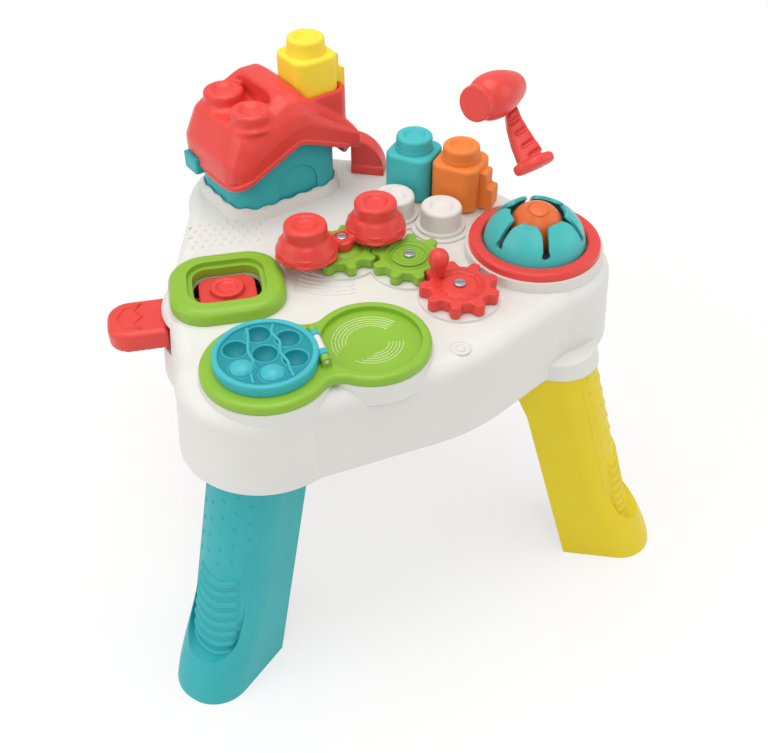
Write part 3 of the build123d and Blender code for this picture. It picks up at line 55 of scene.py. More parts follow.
# Sides of a ring's round section, and the steps round the ring.
HOOP_SIDES = 10
HOOP_STEPS = 64
FULL_TURN = 360
LOG = logging.getLogger("activity_table")

Colour = tuple[float, float, float, float]
Place = tuple[float, float]


def linear(code: str) -> Colour:
    """Turn an sRGB hex code into linear colour.

    Args:
        code: Six hex digits after a hash sign.

    Returns:
        Red, green, blue and alpha.
    """
    parts = []
    for index in (1, 3, 5):
        value = int(code[index : index + 2], 16) / 255
        parts.append(value / 12.92 if value <= 0.04045 else ((value + 0.055) / 1.055) ** 2.4)
    return (parts[0], parts[1], parts[2], 1.0)


def at(x: float, y: float, z: float) -> Vector:
    """Place of the layout, in millimetres, as a point of the shared frame."""
    return Vector(((x + SHIFT_X) * MM, (y + SHIFT_Y) * MM, z * MM))


def beside(x: float, y: float, turn: float, along: float, across: float) -> Place:
    """Go along and across a turned direction from a place of the layout.

    Args:
        x: Place to start from.
        y: Place to start from.
        turn: Direction in degrees.
        along: Way along the direction.
        across: Way to the left of the direction.

    Returns:
        The place that is reached.
    """
    angle = math.radians(turn)
    return (
        x + along * math.cos(angle) - across * math.sin(angle),
        y + along * math.sin(angle) + across * math.cos(angle),
    )


def put(
    tree: bpy.types.NodeTree,
    kind: str,
    inputs: dict[str | int, object] | None = None,
    **settings: object,
) -> bpy.types.Node:
    """Add a node with its settings, its values and its links.

    Args:
        tree: Node tree that gets the node.
        kind: Blender's name of the node type.
        inputs: Values or output sockets for the node's inputs.
        settings: Properties of the node itself.

    Returns:
        The new node.
    """
    node = tree.nodes.new(kind)
    for name, value in settings.items():
        setattr(node, name, value)
    for name, value in (inputs or {}).items():
        if isinstance(value, bpy.types.NodeSocket):
            tree.links.new(value, node.inputs[name])
        else:
            node.inputs[name].default_value = value
    return node


class Moulding(Enum):
    """How the tool's face was finished, which sets the grain a moulding carries."""

    # An eroded tool leaves an even, slightly matt sheen.
    SATIN = "satin"
    # A polished tool leaves a smooth face with clear highlights.
    GLOSS = "gloss"
    # Rubber and silicone show wide, dull highlights.
    SOFT = "soft"


@dataclass(frozen=True)
class MouldedPlastic:
    """Injection-moulded plastic: even colour with faint flow shades, soft edges and a fine grain.

    The grain of such tools is near 0.2 mm, too fine to show here, so it is drawn coarser.
    """

    name: str
    slot: str
    colour: str
    flow_colour: str
    moulding: Moulding
    grain_mm: float = 1.1
    grain_depth_mm: float = 0.08
    scuff_mm: float = 9.0
    flow_mm: float = 46.0
    edge_mm: float = 0.9

    def roughness(self) -> tuple[float, float]:
        """Least and most roughness that the tool's finish leaves."""
        ranges = {
            Moulding.SATIN: (0.40, 0.52),
            Moulding.GLOSS: (0.27, 0.37),
            Moulding.SOFT: (0.50, 0.62),
        }
        return ranges[self.moulding]

    def grain_strength(self) -> float:
        """Strength of the grain, weaker on a polished tool."""
        return 0.12 if self.moulding is Moulding.GLOSS else 0.22

    def make(self) -> bpy.types.Material:
        """Build the material.

        Returns:
            The finished material.
        """
        material = bpy.data.materials.new(self.name)
        material.use_nodes = True
        tree = material.node_tree
        tree.nodes.clear()
        place = put(tree, "ShaderNodeTexCoord").outputs["Object"]
        flow = put(
            tree,
            "ShaderNodeTexNoise",
            {"Vector": place, "Scale": 1 / (self.flow_mm * MM), "Detail": 2.0, "Roughness": 0.45},
        )
        tint = put(
            tree,
            "ShaderNodeMix",
            {"Factor": flow.outputs["Fac"], 6: linear(self.colour), 7: linear(self.flow_colour)},
            data_type="RGBA",
        )
        least, most = self.roughness()
        scuff = put(
            tree,
            "ShaderNodeTexNoise",
            {"Vector": place, "Scale": 1 / (self.scuff_mm * MM), "Detail": 3.0, "Roughness": 0.55},
        )
        gloss = put(
            tree,
            "ShaderNodeMapRange",
            {
                "Value": scuff.outputs["Fac"],
                "From Min": 0.3,
                "From Max": 0.7,
                "To Min": least,
                "To Max": most,
            },
        )
        grain = put(
            tree,
            "ShaderNodeTexNoise",
            {"Vector": place, "Scale": 1 / (self.grain_mm * MM), "Detail": 1.0, "Roughness": 0.5},
        )
        edge = put(tree, "ShaderNodeBevel", {"Radius": self.edge_mm * MM}, samples=4)
        bump = put(
            tree,
            "ShaderNodeBump",
            {
                "Strength": self.grain_strength(),
                "Distance": self.grain_depth_mm * MM,
                "Height": grain.outputs["Fac"],
                "Normal": edge.outputs["Normal"],
            },
        )
        shader = put(
            tree,
            "ShaderNodeBsdfPrincipled",
            {
                "Base Color": tint.outputs[2],
                "Roughness": gloss.outputs["Result"],
                "Normal": bump.outputs["Normal"],
                "IOR": 1.49,
                "Specular IOR Level": 0.42,
            },
        )
        put(tree, "ShaderNodeOutputMaterial", {"Surface": shader.outputs["BSDF"]})
        return material


@dataclass(frozen=True)
class TurnedSteel:
    """Zinc-plated steel of a turned screw: cool grey metal with a fine uneven grain.

    The grain of such plating is under 0.1 mm, too fine to show here, so it is drawn coarser.
    """

    name: str
    slot: str
    colour: str
    grain_mm: float = 0.5
    grain_depth_mm: float = 0.05

    def make(self) -> bpy.types.Material:
        """Build the material.

        Returns:
            The finished material.
        """
        material = bpy.data.materials.new(self.name)
        material.use_nodes = True
        tree = material.node_tree
        tree.nodes.clear()
        place = put(tree, "ShaderNodeTexCoord").outputs["Object"]
        streak = put(
            tree,
            "ShaderNodeTexNoise",
            {"Vector": place, "Scale": 1 / (self.grain_mm * MM), "Detail": 2.0},
        )
        gloss = put(
            tree,
            "ShaderNodeMapRange",
            {"Value": streak.outputs["Fac"], "To Min": 0.24, "To Max": 0.42},
        )
        bump = put(
            tree,
            "ShaderNodeBump",
            {
                "Strength": 0.15,
                "Distance": self.grain_depth_mm * MM,
                "Height": streak.outputs["Fac"],
            },
        )
        shader = put(
            tree,
            "ShaderNodeBsdfPrincipled",
            {
                "Base Color": linear(self.colour),
                "Metallic": 1.0,
                "Roughness": gloss.outputs["Result"],
                "Normal": bump.outputs["Normal"],
            },
        )
        put(tree, "ShaderNodeOutputMaterial", {"Surface": shader.outputs["BSDF"]})
        return material


Finish = MouldedPlastic | TurnedSteel

# Polypropylene from an eroded tool: warm white with an even sheen.
WHITE = MouldedPlastic(
    "white_polypropylene_satin_moulded", "white_plastic", "#E3E1DC", "#DBD9D3", Moulding.SATIN
)
# Polypropylene from an eroded tool: clear teal, even over the long faces.
TEAL = MouldedPlastic(
    "teal_polypropylene_satin_moulded", "teal_plastic", "#30B0B5", "#2AA6AC", Moulding.SATIN
)
# Polypropylene from a polished tool: lighter teal with highlights along the petals.
DOME_TEAL = MouldedPlastic(
    "teal_polypropylene_gloss_moulded", "teal_plastic", "#48C0BE", "#41B6B4", Moulding.GLOSS
)
# Polypropylene from an eroded tool: strong yellow with an even sheen.
YELLOW = MouldedPlastic(
    "yellow_polypropylene_satin_moulded", "yellow_plastic", "#EAD20A", "#DEC60E", Moulding.SATIN
)
# Polypropylene from a polished tool: warm red with clear highlights on its rounded edges.
RED = MouldedPlastic(
    "red_polypropylene_gloss_moulded", "red_plastic", "#E54840", "#DC4038", Moulding.GLOSS
)
# Polypropylene from a polished tool: leaf green with clear highlights.
GREEN = MouldedPlastic(
    "green_polypropylene_gloss_moulded", "green_plastic", "#8DBB37", "#84B02F", Moulding.GLOSS
)
# Polypropylene from a polished tool: light blue with a thin highlight round the ring. On the two popped
# bubbles of the silicone sheet this lighter blue is painted light.
RIM_BLUE = MouldedPlastic(
    "blue_polypropylene_gloss_moulded", "rim_blue", "#41B7C0", "#3AADB6", Moulding.GLOSS
)
# Moulded silicone: deep blue and dull.
POP_BLUE = MouldedPlastic(
    "blue_silicone_soft_moulded", "popit_blue", "#0E919B", "#0B8791", Moulding.SOFT
)
# Moulded rubber: yellow with a wide, dull highlight.
SOFT_YELLOW = MouldedPlastic(
    "yellow_rubber_soft_moulded", "soft_yellow", "#FADF40", "#F2D538", Moulding.SOFT
)
# Moulded rubber: teal with a wide, dull highlight.
SOFT_TEAL = MouldedPlastic(
    "teal_rubber_soft_moulded", "soft_teal", "#45BEC1", "#3EB4B7", Moulding.SOFT
)
# Moulded rubber: orange with a wide, dull highlight.
SOFT_ORANGE = MouldedPlastic(
    "orange_rubber_soft_moulded", "soft_orange", "#F0893C", "#E87F34", Moulding.SOFT
)
# ABS from a polished tool: bright orange with a small, clear highlight.
BALL_ORANGE = MouldedPlastic(
    "orange_abs_gloss_moulded", "ball_orange", "#EA7438", "#E26B30", Moulding.GLOSS
)
# Polypropylene from an eroded tool: grey that is partly painted shade, standing for the dim inside of the
# dome.
CUP_SHADE_GREY = MouldedPlastic(
    "grey_polypropylene_satin_painted_shade", "cup_grey", "#9A9C9E", "#909294", Moulding.SATIN
)
# Raised lines of polypropylene: pale green that stands out from the dish.
PALE_GREEN = MouldedPlastic(
    "pale_green_polypropylene_raised_lines", "green_plastic", "#D5E6A8", "#C9DC98", Moulding.SATIN
)
# Zinc-plated steel as it was turned: cool grey with a broken gleam.
STEEL = TurnedSteel("zinc_plated_steel_turned", "screw_steel", "#C3C6CA")


class Stock:
    """Materials that have been made so far, one for each finish."""

    def __init__(self) -> None:
        """Start with nothing made."""
        self.made: dict[str, bpy.types.Material] = {}

    def take(self, finish: Finish) -> bpy.types.Material:
        """Give the material of a finish, made on its first use."""
        if finish.name not in self.made:
            self.made[finish.name] = finish.make()
        return self.made[finish.name]


STOCK = Stock()


def dress(node: str, finish: Finish) -> None:
    """Give a node of the frame its finish."""
    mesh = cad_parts[node].data
    mesh.materials.clear()
    mesh.materials.append(STOCK.take(finish))
    LOG.info("dressed %s in %s", node, finish.name)


def soften(node: str, cell: float, rounds: int) -> None:
    """Round the edges of a node with modifiers, as a moulding's edges are rounded.

    Args:
        node: Node of the frame.
        cell: Size of the cells of the rounded surface in millimetres.
        rounds: Rounds of smoothing.
    """
    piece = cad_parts[node]
    weld = piece.modifiers.new("weld", "WELD")
    weld.merge_threshold = WELD_GAP * MM
    cells = piece.modifiers.new("cells", "REMESH")
    cells.mode = "VOXEL"
    cells.voxel_size = cell * MM
    cells.use_smooth_shade = True
    ease = piece.modifiers.new("ease", "SMOOTH")
    ease.factor = EASE_FACTOR
    ease.iterations = rounds
    LOG.info("softened %s", node)


def settle(shape: bmesh.types.BMesh, name: str, body: str, finish: Finish) -> None:
    """Turn a finished bmesh into a piece that rides on a body.

    Args:
        shape: The shape, in metres of the shared frame.
        name: Name of the piece.
        body: Body that carries it.
        finish: Its finish.
    """
    bmesh.ops.recalc_face_normals(shape, faces=shape.faces)
    mesh = bpy.data.meshes.new(name)
    shape.to_mesh(mesh)
    shape.free()
    for polygon in mesh.polygons:
        polygon.use_smooth = True
    mesh.materials.append(STOCK.take(finish))
    piece = bpy.data.objects.new(name, mesh)
    bpy.context.scene.collection.objects.link(piece)
    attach(piece, body)
    LOG.info("built %s on %s", name, body)


def edges_at(verts: Iterable[bmesh.types.BMVert]) -> list[bmesh.types.BMEdge]:
    """Edges at some vertices, each once."""
    return list(dict.fromkeys(edge for vert in verts for edge in vert.link_edges))


def bead(
    shape: bmesh.types.BMesh,
    path: list[Vector],
    radius: float,
    sides: int = BEAD_SIDES,
    tip: float = BEAD_TIP,
) -> None:
    """Lay a round bead along a path, thinner at both ends.

    Args:
        shape: Mesh that gets the bead.
        path: Points of its middle line, in metres.
        radius: Radius of the bead in metres.
        sides: Sides of its round section.
        tip: Share of the radius that is left at the ends.
    """
    last = len(path) - 1
    steps = []
    for index, point in enumerate(path):
        ahead = path[min(index + 1, last)] - path[max(index - 1, 0)]
        size = tip if index in (0, last) else 1.0
        turn = ahead.to_track_quat("Z", "Y").to_matrix().to_4x4()
        steps.append(Matrix.Translation(point) @ turn @ Matrix.Scale(size, 4))
    start = bmesh.ops.create_circle(shape, cap_ends=True, segments=sides, radius=radius, matrix=steps[0])
    edges = edges_at(start["verts"])
    for before, after in zip(steps, steps[1:]):
        grown = bmesh.ops.extrude_edge_only(shape, edges=edges)["geom"]
        verts = [item for item in grown if isinstance(item, bmesh.types.BMVert)]
        fresh = set(verts)
        edges = [
            item
            for item in grown
            if isinstance(item, bmesh.types.BMEdge) and item.verts[0] in fresh and item.verts[1] in fresh
        ]
        bmesh.ops.transform(shape, matrix=after @ before.inverted(), verts=verts)
    bmesh.ops.contextual_create(shape, geom=edges)


def hoop(
    shape: bmesh.types.BMesh,
    middle: Vector,
    radius: float,
    thick: float,
    steps: int = HOOP_STEPS,
) -> None:
    """Turn a round section into a level ring.

    Args:
        shape: Mesh that gets the ring.
        middle: Middle of the ring.
        radius: Radius to the middle of its section.
        thick: Radius of the section.
        steps: Steps round the ring.
    """
    stand = Matrix.Translation(middle + Vector((radius, 0, 0))) @ Matrix.Rotation(math.pi / 2, 4, "X")
    section = bmesh.ops.create_circle(shape, cap_ends=False, segments=HOOP_SIDES, radius=thick, matrix=stand)
    bmesh.ops.spin(
        shape,
        geom=section["verts"] + edges_at(section["verts"]),
        cent=middle,
        axis=(0, 0, 1),
        angle=2 * math.pi,
        steps=steps,
        use_merge=True,
    )


def pimple(shape: bmesh.types.BMesh, middle: Vector, radius: float, flat: float = 1.0) -> None:
    """Set a small rounded bump at a point.

    Args:
        shape: Mesh that gets the bump.
        middle: Its middle, on the surface that it stands on.
        radius: Its radius in metres.
        flat: Share of the radius that it stands up.
    """
    squat = Matrix.Translation(middle) @ Matrix.Diagonal((1, 1, flat, 1))
    bmesh.ops.create_icosphere(shape, subdivisions=2, radius=radius, matrix=squat)


def smooth(points: Iterable[Place], steps: int = 6) -> list[Place]:
    """Run a smooth line through places of the layout.

    Args:
        points: Places that the line passes.
        steps: Steps between two of them.

    Returns:
        Places close together along the line.
    """
    given = [Vector(point) for point in points]
    ends = [given[0], *given, given[-1]]
    line = []
    for before, start, end, after in zip(ends, ends[1:], ends[2:], ends[3:]):
        for step in range(steps):
            share = step / steps
            spot = 2 * start + (end - before) * share
            spot += (2 * before - 5 * start + 4 * end - after) * share**2
            spot += (3 * start - before - 3 * end + after) * share**3
            line.append((spot.x / 2, spot.y / 2))
    line.append((given[-1].x, given[-1].y))
    return line


def skin(node: str) -> BVHTree:
    """Search tree of a node's surface, in the shared frame."""
    copy = bmesh.new()
    copy.from_mesh(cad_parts[node].data)
    copy.transform(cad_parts[node].matrix_world)
    tree = BVHTree.FromBMesh(copy)
    copy.free()
    return tree


def drop(tree: BVHTree, x: float, y: float) -> Vector | None:
    """Highest point of a surface at a place of the layout, if there is one."""
    return tree.ray_cast(at(x, y, 2 * DECK), Vector((0, 0, -1)))[0]


def rise(tree: BVHTree, x: float, y: float) -> Vector | None:
    """Lowest point of a surface above the deck at a place of the layout, if there is one."""
    return tree.ray_cast(at(x, y, DECK), Vector((0, 0, 1)))[0]


def arc_points(
    x: float,
    y: float,
    z: float,
    radius: float,
    start: float,
    end: float,
    steps: int,
) -> list[Vector]:
    """Points of a level arc of the layout.

    Args:
        x: Middle of the arc.
        y: Middle of the arc.
        z: Height of the arc.
        radius: Radius in millimetres.
        start: Direction of the first point in degrees.
        end: Direction of the last point in degrees.
        steps: Number of steps.

    Returns:
        The points in the shared frame.
    """
    points = []
    for step in range(steps + 1):
        px, py = beside(x, y, start + (end - start) * step / steps, radius, 0)
        points.append(at(px, py, z))
    return points


@dataclass
class TableTop:
    """White table top with its cover, screws and the raised marks on its deck."""

    grid_origin: Place = (-158.0, 18.0)
    grid_turn: float = 12.0
    grid_columns: int = 8
    grid_rows: int = 5
    grid_pitch: float = 8.0
    grid_radius: float = 1.7
    grid_flat: float = 0.6
    ripple_middle: Place = (-38.0, 24.0)
    ripple_radii: tuple[float, ...] = (46.0, 51.0, 56.0, 61.0, 66.0, 71.0)
    ripple_start: float = 236.0
    ripple_start_step: float = 2.0
    ripple_end: float = 292.0
    ripple_end_step: float = 1.0
    ripple_steps: int = 20
    ring_middle: Place = (62.0, -112.0)
    ring_radii: tuple[float, ...] = (3.5, 7.5)
    ring_steps: int = 32
    mark_radius: float = 0.9

    def build(self) -> None:
        """Dress the nodes and add the marks on the deck."""
        dress("table_top", WHITE)
        dress("table_underside", WHITE)
        dress("cover_screws", STEEL)
        self.dot_grid()
        self.ripples()
        self.rings()

    def dot_grid(self) -> None:
        """Grid of small bumps behind the launcher."""
        shape = bmesh.new()
        for row in range(self.grid_rows):
            for column in range(self.grid_columns):
                shift = self.grid_pitch / 2 if row % 2 else 0.0
                along = column * self.grid_pitch + shift
                x, y = beside(*self.grid_origin, self.grid_turn, along, row * self.grid_pitch)
                pimple(shape, at(x, y, DECK), self.grid_radius * MM, self.grid_flat)
        settle(shape, "deck_dot_grid", "table", WHITE)

    def ripples(self) -> None:
        """Arcs like ripples in front of the carousel."""
        shape = bmesh.new()
        for index, radius in enumerate(self.ripple_radii):
            start = self.ripple_start + self.ripple_start_step * index
            end = self.ripple_end - self.ripple_end_step * index
            points = arc_points(*self.ripple_middle, DECK, radius, start, end, self.ripple_steps)
            bead(shape, points, self.mark_radius * MM)
        settle(shape, "deck_ripples", "table", WHITE)

    def rings(self) -> None:
        """Small rings beside the dish."""
        shape = bmesh.new()
        for radius in self.ring_radii:
            middle = at(*self.ring_middle, DECK)
            hoop(shape, middle, radius * MM, self.mark_radius * MM, self.ring_steps)
        settle(shape, "deck_rings", "table", WHITE)


@dataclass
class Leg:
    """Splayed leg with crescent grips, rows of bumps and a soft ridge along each side."""

    node: str
    x: float
    y: float
    turn: float
    finish: Finish
    width: float = 68.0
    corner: float = 32.0
    splay: float = 0.294
    grip_rows: int = 9
    grip_low: float = 27.0
    grip_pitch: float = 10.4
    grip_radius: float = 3.7
    grip_sink: float = 1.5
    grip_reach: float = 26.0
    grip_least: float = 0.84
    grip_swell: float = 0.16
    grip_sag: float = 7.0
    grip_half_steps: int = 8
    bead_sides: int = 10
    bump_low: float = 128.0
    bump_high: float = 222.0
    bump_pitch: float = 15.0
    bump_columns: tuple[float, ...] = (-24.0, -12.0, 0.0, 12.0, 24.0)
    bump_radius: float = 3.0
    bump_sink: float = 1.9
    border_place: float = 31.0
    border_low: float = 52.0
    border_high: float = 225.0
    border_radius: float = 2.2
    border_sink: float = 1.5
    border_steps: int = 12

    def face(self, across: float, z: float, sink: float = 0.0) -> Vector:
        """Point on the outer face of the leg, or a little under it.

        Args:
            across: Way along the face from its middle line, in millimetres.
            z: Height above the floor.
            sink: Depth under the face.

        Returns:
            The point in the shared frame.
        """
        flat = self.width / 2 - self.corner
        bend = max(abs(across) - flat, 0.0) / self.corner
        round_radius = self.corner - sink
        out = self.splay * (APRON_BASE - z) - self.corner + round_radius * math.cos(bend)
        aside = math.copysign(min(abs(across), flat) + round_radius * math.sin(bend), across)
        x, y = beside(self.x, self.y, self.turn, out, aside)
        return at(x, y, z)

    def build(self) -> None:
        """Dress the leg and add its grips, bumps and borders."""
        dress(self.node, self.finish)
        self.grips()
        self.bumps()
        self.borders()

    def grips(self) -> None:
        """Crescent grips in the panel above the toe."""
        shape = bmesh.new()
        for row in range(self.grip_rows):
            low = self.grip_low + row * self.grip_pitch
            swell = self.grip_swell * math.sin(math.pi * (row + 1) / self.grip_rows)
            reach = self.grip_reach * (self.grip_least + swell)
            path = []
            for step in range(2 * self.grip_half_steps + 1):
                share = step / self.grip_half_steps - 1
                path.append(self.face(reach * share, low + self.grip_sag * share**2, self.grip_sink))
            bead(shape, path, self.grip_radius * MM, self.bead_sides)
        settle(shape, self.node + "_grips", "table", self.finish)

    def bumps(self) -> None:
        """Staggered small bumps above the grips."""
        shape = bmesh.new()
        for column, across in enumerate(self.bump_columns):
            z = self.bump_low + (self.bump_pitch / 2 if column % 2 else 0.0)
            while z < self.bump_high:
                pimple(shape, self.face(across, z, self.bump_sink), self.bump_radius * MM)
                z += self.bump_pitch
        settle(shape, self.node + "_bumps", "table", self.finish)

    def borders(self) -> None:
        """Soft ridge along both sides of the front panel."""
        shape = bmesh.new()
        for side in (-1, 1):
            path = []
            for step in range(self.border_steps + 1):
                z = self.border_low + (self.border_high - self.border_low) * step / self.border_steps
                path.append(self.face(side * self.border_place, z, self.border_sink))
            bead(shape, path, self.border_radius * MM, self.bead_sides)
        settle(shape, self.node + "_borders", "table", self.finish)


@dataclass
class House:
    """House with its hinged roof, slide, the roof's hatching and lip, and the wavy edge of its mound."""

    x: float = -99.8
    y: float = 118.6
    turn: float = 36.0
    width: float = 106.0
    depth: float = 84.0
    corner: float = 24.0
    roof_cell: float = 1.3
    roof_rounds: int = 14
    slide_cell: float = 0.8
    slide_rounds: int = 6
    hatch_count: int = 11
    hatch_start: float = 27.0
    hatch_pitch: float = 3.1
    hatch_front: float = -48.5
    hatch_back: float = -42.5
    hatch_radius: float = 0.9
    hatch_steps: int = 4
    hatch_tip: float = 0.6
    eave_left: tuple[tuple[float, float, float], ...] = (
        (-60.2, 8.0, 35.4), (-60.2, -4.0, 35.4), (-60.2, -16.0, 35.4), (-60.2, -28.0, 35.4),
        (-60.0, -37.0, 35.6), (-59.2, -42.5, 37.4), (-57.6, -46.0, 38.9), (-55.4, -48.6, 40.2),
        (-52.6, -50.4, 41.4),
    )
    eave_front: float = -51.0
    eave_end: float = 58.0
    eave_pitch: float = 3.0
    eave_sink: float = 1.6
    eave_radius: float = 3.1
    eave_rounds: int = 3
    eave_sides: int = 10
    hem_grow: float = 1.7
    hem_high: float = 9.0
    hem_swing: float = 1.0
    hem_waves: int = 20
    hem_radius: float = 1.3
    hem_corner_steps: int = 24
    hem_step: float = 1.5

    def build(self) -> None:
        """Dress the nodes and add the hatching, the lip and the edge."""
        dress("house_walls", TEAL)
        dress("house_roof", RED)
        dress("roof_hinge_pin", STEEL)
        dress("house_slide", RED)
        soften("house_roof", self.roof_cell, self.roof_rounds)
        soften("house_slide", self.slide_cell, self.slide_rounds)
        self.hatching()
        self.eave()
        self.hem()

    def hatching(self) -> None:
        """Short ridges side by side on the right slope of the roof, in front of the chimney."""
        shape = bmesh.new()
        roof = skin("house_roof")
        for index in range(self.hatch_count):
            path = []
            for step in range(self.hatch_steps + 1):
                across = self.hatch_front + (self.hatch_back - self.hatch_front) * step / self.hatch_steps
                along = self.hatch_start + index * self.hatch_pitch
                spot = drop(roof, *beside(self.x, self.y, self.turn, along, across))
                if spot is not None:
                    path.append(spot)
            if len(path) > 2:
                bead(shape, path, self.hatch_radius * MM, tip=self.hatch_tip)
        settle(shape, "roof_hatching", "roof", RED)

    def eave(self) -> None:
        """Rounded lip along the lower edge of the roof, at its left end and its front."""
        shape = bmesh.new()
        roof = skin("house_roof")
        path = []
        for along, across, level in self.eave_left:
            x, y = beside(self.x, self.y, self.turn, along, across)
            path.append(at(x, y, DECK + level))
        along = self.eave_left[-1][0] + self.eave_pitch
        while along < self.eave_end:
            spot = rise(roof, *beside(self.x, self.y, self.turn, along, self.eave_front))
            if spot is not None:
                path.append(spot + Vector((0, 0, self.eave_sink * MM)))
            along += self.eave_pitch
        for _ in range(self.eave_rounds):
            inner = [(a + b + c) / 3 for a, b, c in zip(path, path[1:], path[2:])]
            path = [path[0], *inner, path[-1]]
        bead(shape, path, self.eave_radius * MM, self.eave_sides)
        settle(shape, "roof_eave_lip", "roof", RED)

    def hem(self) -> None:
        """Wavy white edge where the walls stand in the mound."""
        shape = bmesh.new()
        half_u = self.width / 2 + self.hem_grow
        half_v = self.depth / 2 + self.hem_grow
        corner = self.corner + self.hem_grow
        outline = []
        for middle_u, middle_v, start in (
            (half_u - corner, half_v - corner, 0),
            (corner - half_u, half_v - corner, 90),
            (corner - half_u, corner - half_v, 180),
            (half_u - corner, corner - half_v, 270),
        ):
            for step in range(self.hem_corner_steps + 1):
                turn = start + 90 * step / self.hem_corner_steps
                outline.append(beside(middle_u, middle_v, turn, corner, 0))
        outline.append(outline[0])
        path = []
        gone = 0.0
        length = sum(math.dist(a, b) for a, b in zip(outline, outline[1:]))
        for start, end in zip(outline, outline[1:]):
            span = math.dist(start, end)
            steps = max(1, round(span / self.hem_step))
            for step in range(steps):
                share = step / steps
                u = start[0] + (end[0] - start[0]) * share
                v = start[1] + (end[1] - start[1]) * share
                wave = math.sin(2 * math.pi * self.hem_waves * (gone + share * span) / length)
                x, y = beside(self.x, self.y, self.turn, u, v)
                path.append(at(x, y, DECK + self.hem_high + self.hem_swing * wave))
            gone += span
        bead(shape, path, self.hem_radius * MM, tip=1.0)
        settle(shape, "house_wavy_hem", "table", WHITE)


@dataclass
class StackingBlocks:
    """Three soft blocks that lift off their studs."""

    finishes: dict[str, Finish] = field(
        default_factory=lambda: {
            "block_yellow": SOFT_YELLOW,
            "block_teal": SOFT_TEAL,
            "block_orange": SOFT_ORANGE,
        }
    )

    def build(self) -> None:
        """Dress the blocks."""
        for node, finish in self.finishes.items():
            dress(node, finish)


@dataclass
class Launcher:
    """Green frame with a red see-saw lever, and a raised mark on its tongue."""

    x: float = -120.4
    y: float = -43.0
    turn: float = 12.0
    tongue_high: float = -13.0
    lever_cell: float = 1.0
    lever_rounds: int = 6
    mark_places: tuple[Place, ...] = (
        (-70, -16), (-76, -8), (-70, 0), (-76, 8), (-70, 16), (-84, 12), (-90, 0), (-84, -12), (-70, -16),
    )
    mark_radius: float = 0.9

    def build(self) -> None:
        """Dress the nodes and add the mark on the tongue."""
        dress("launcher_frame", GREEN)
        dress("launcher_lever", RED)
        dress("launcher_pivot_pin", STEEL)
        soften("launcher_lever", self.lever_cell, self.lever_rounds)
        shape = bmesh.new()
        path = []
        for along, across in self.mark_places:
            x, y = beside(self.x, self.y, self.turn, along, across)
            path.append(at(x, y, DECK + self.tongue_high))
        bead(shape, path, self.mark_radius * MM)
        settle(shape, "lever_tongue_mark", "lever", RED)


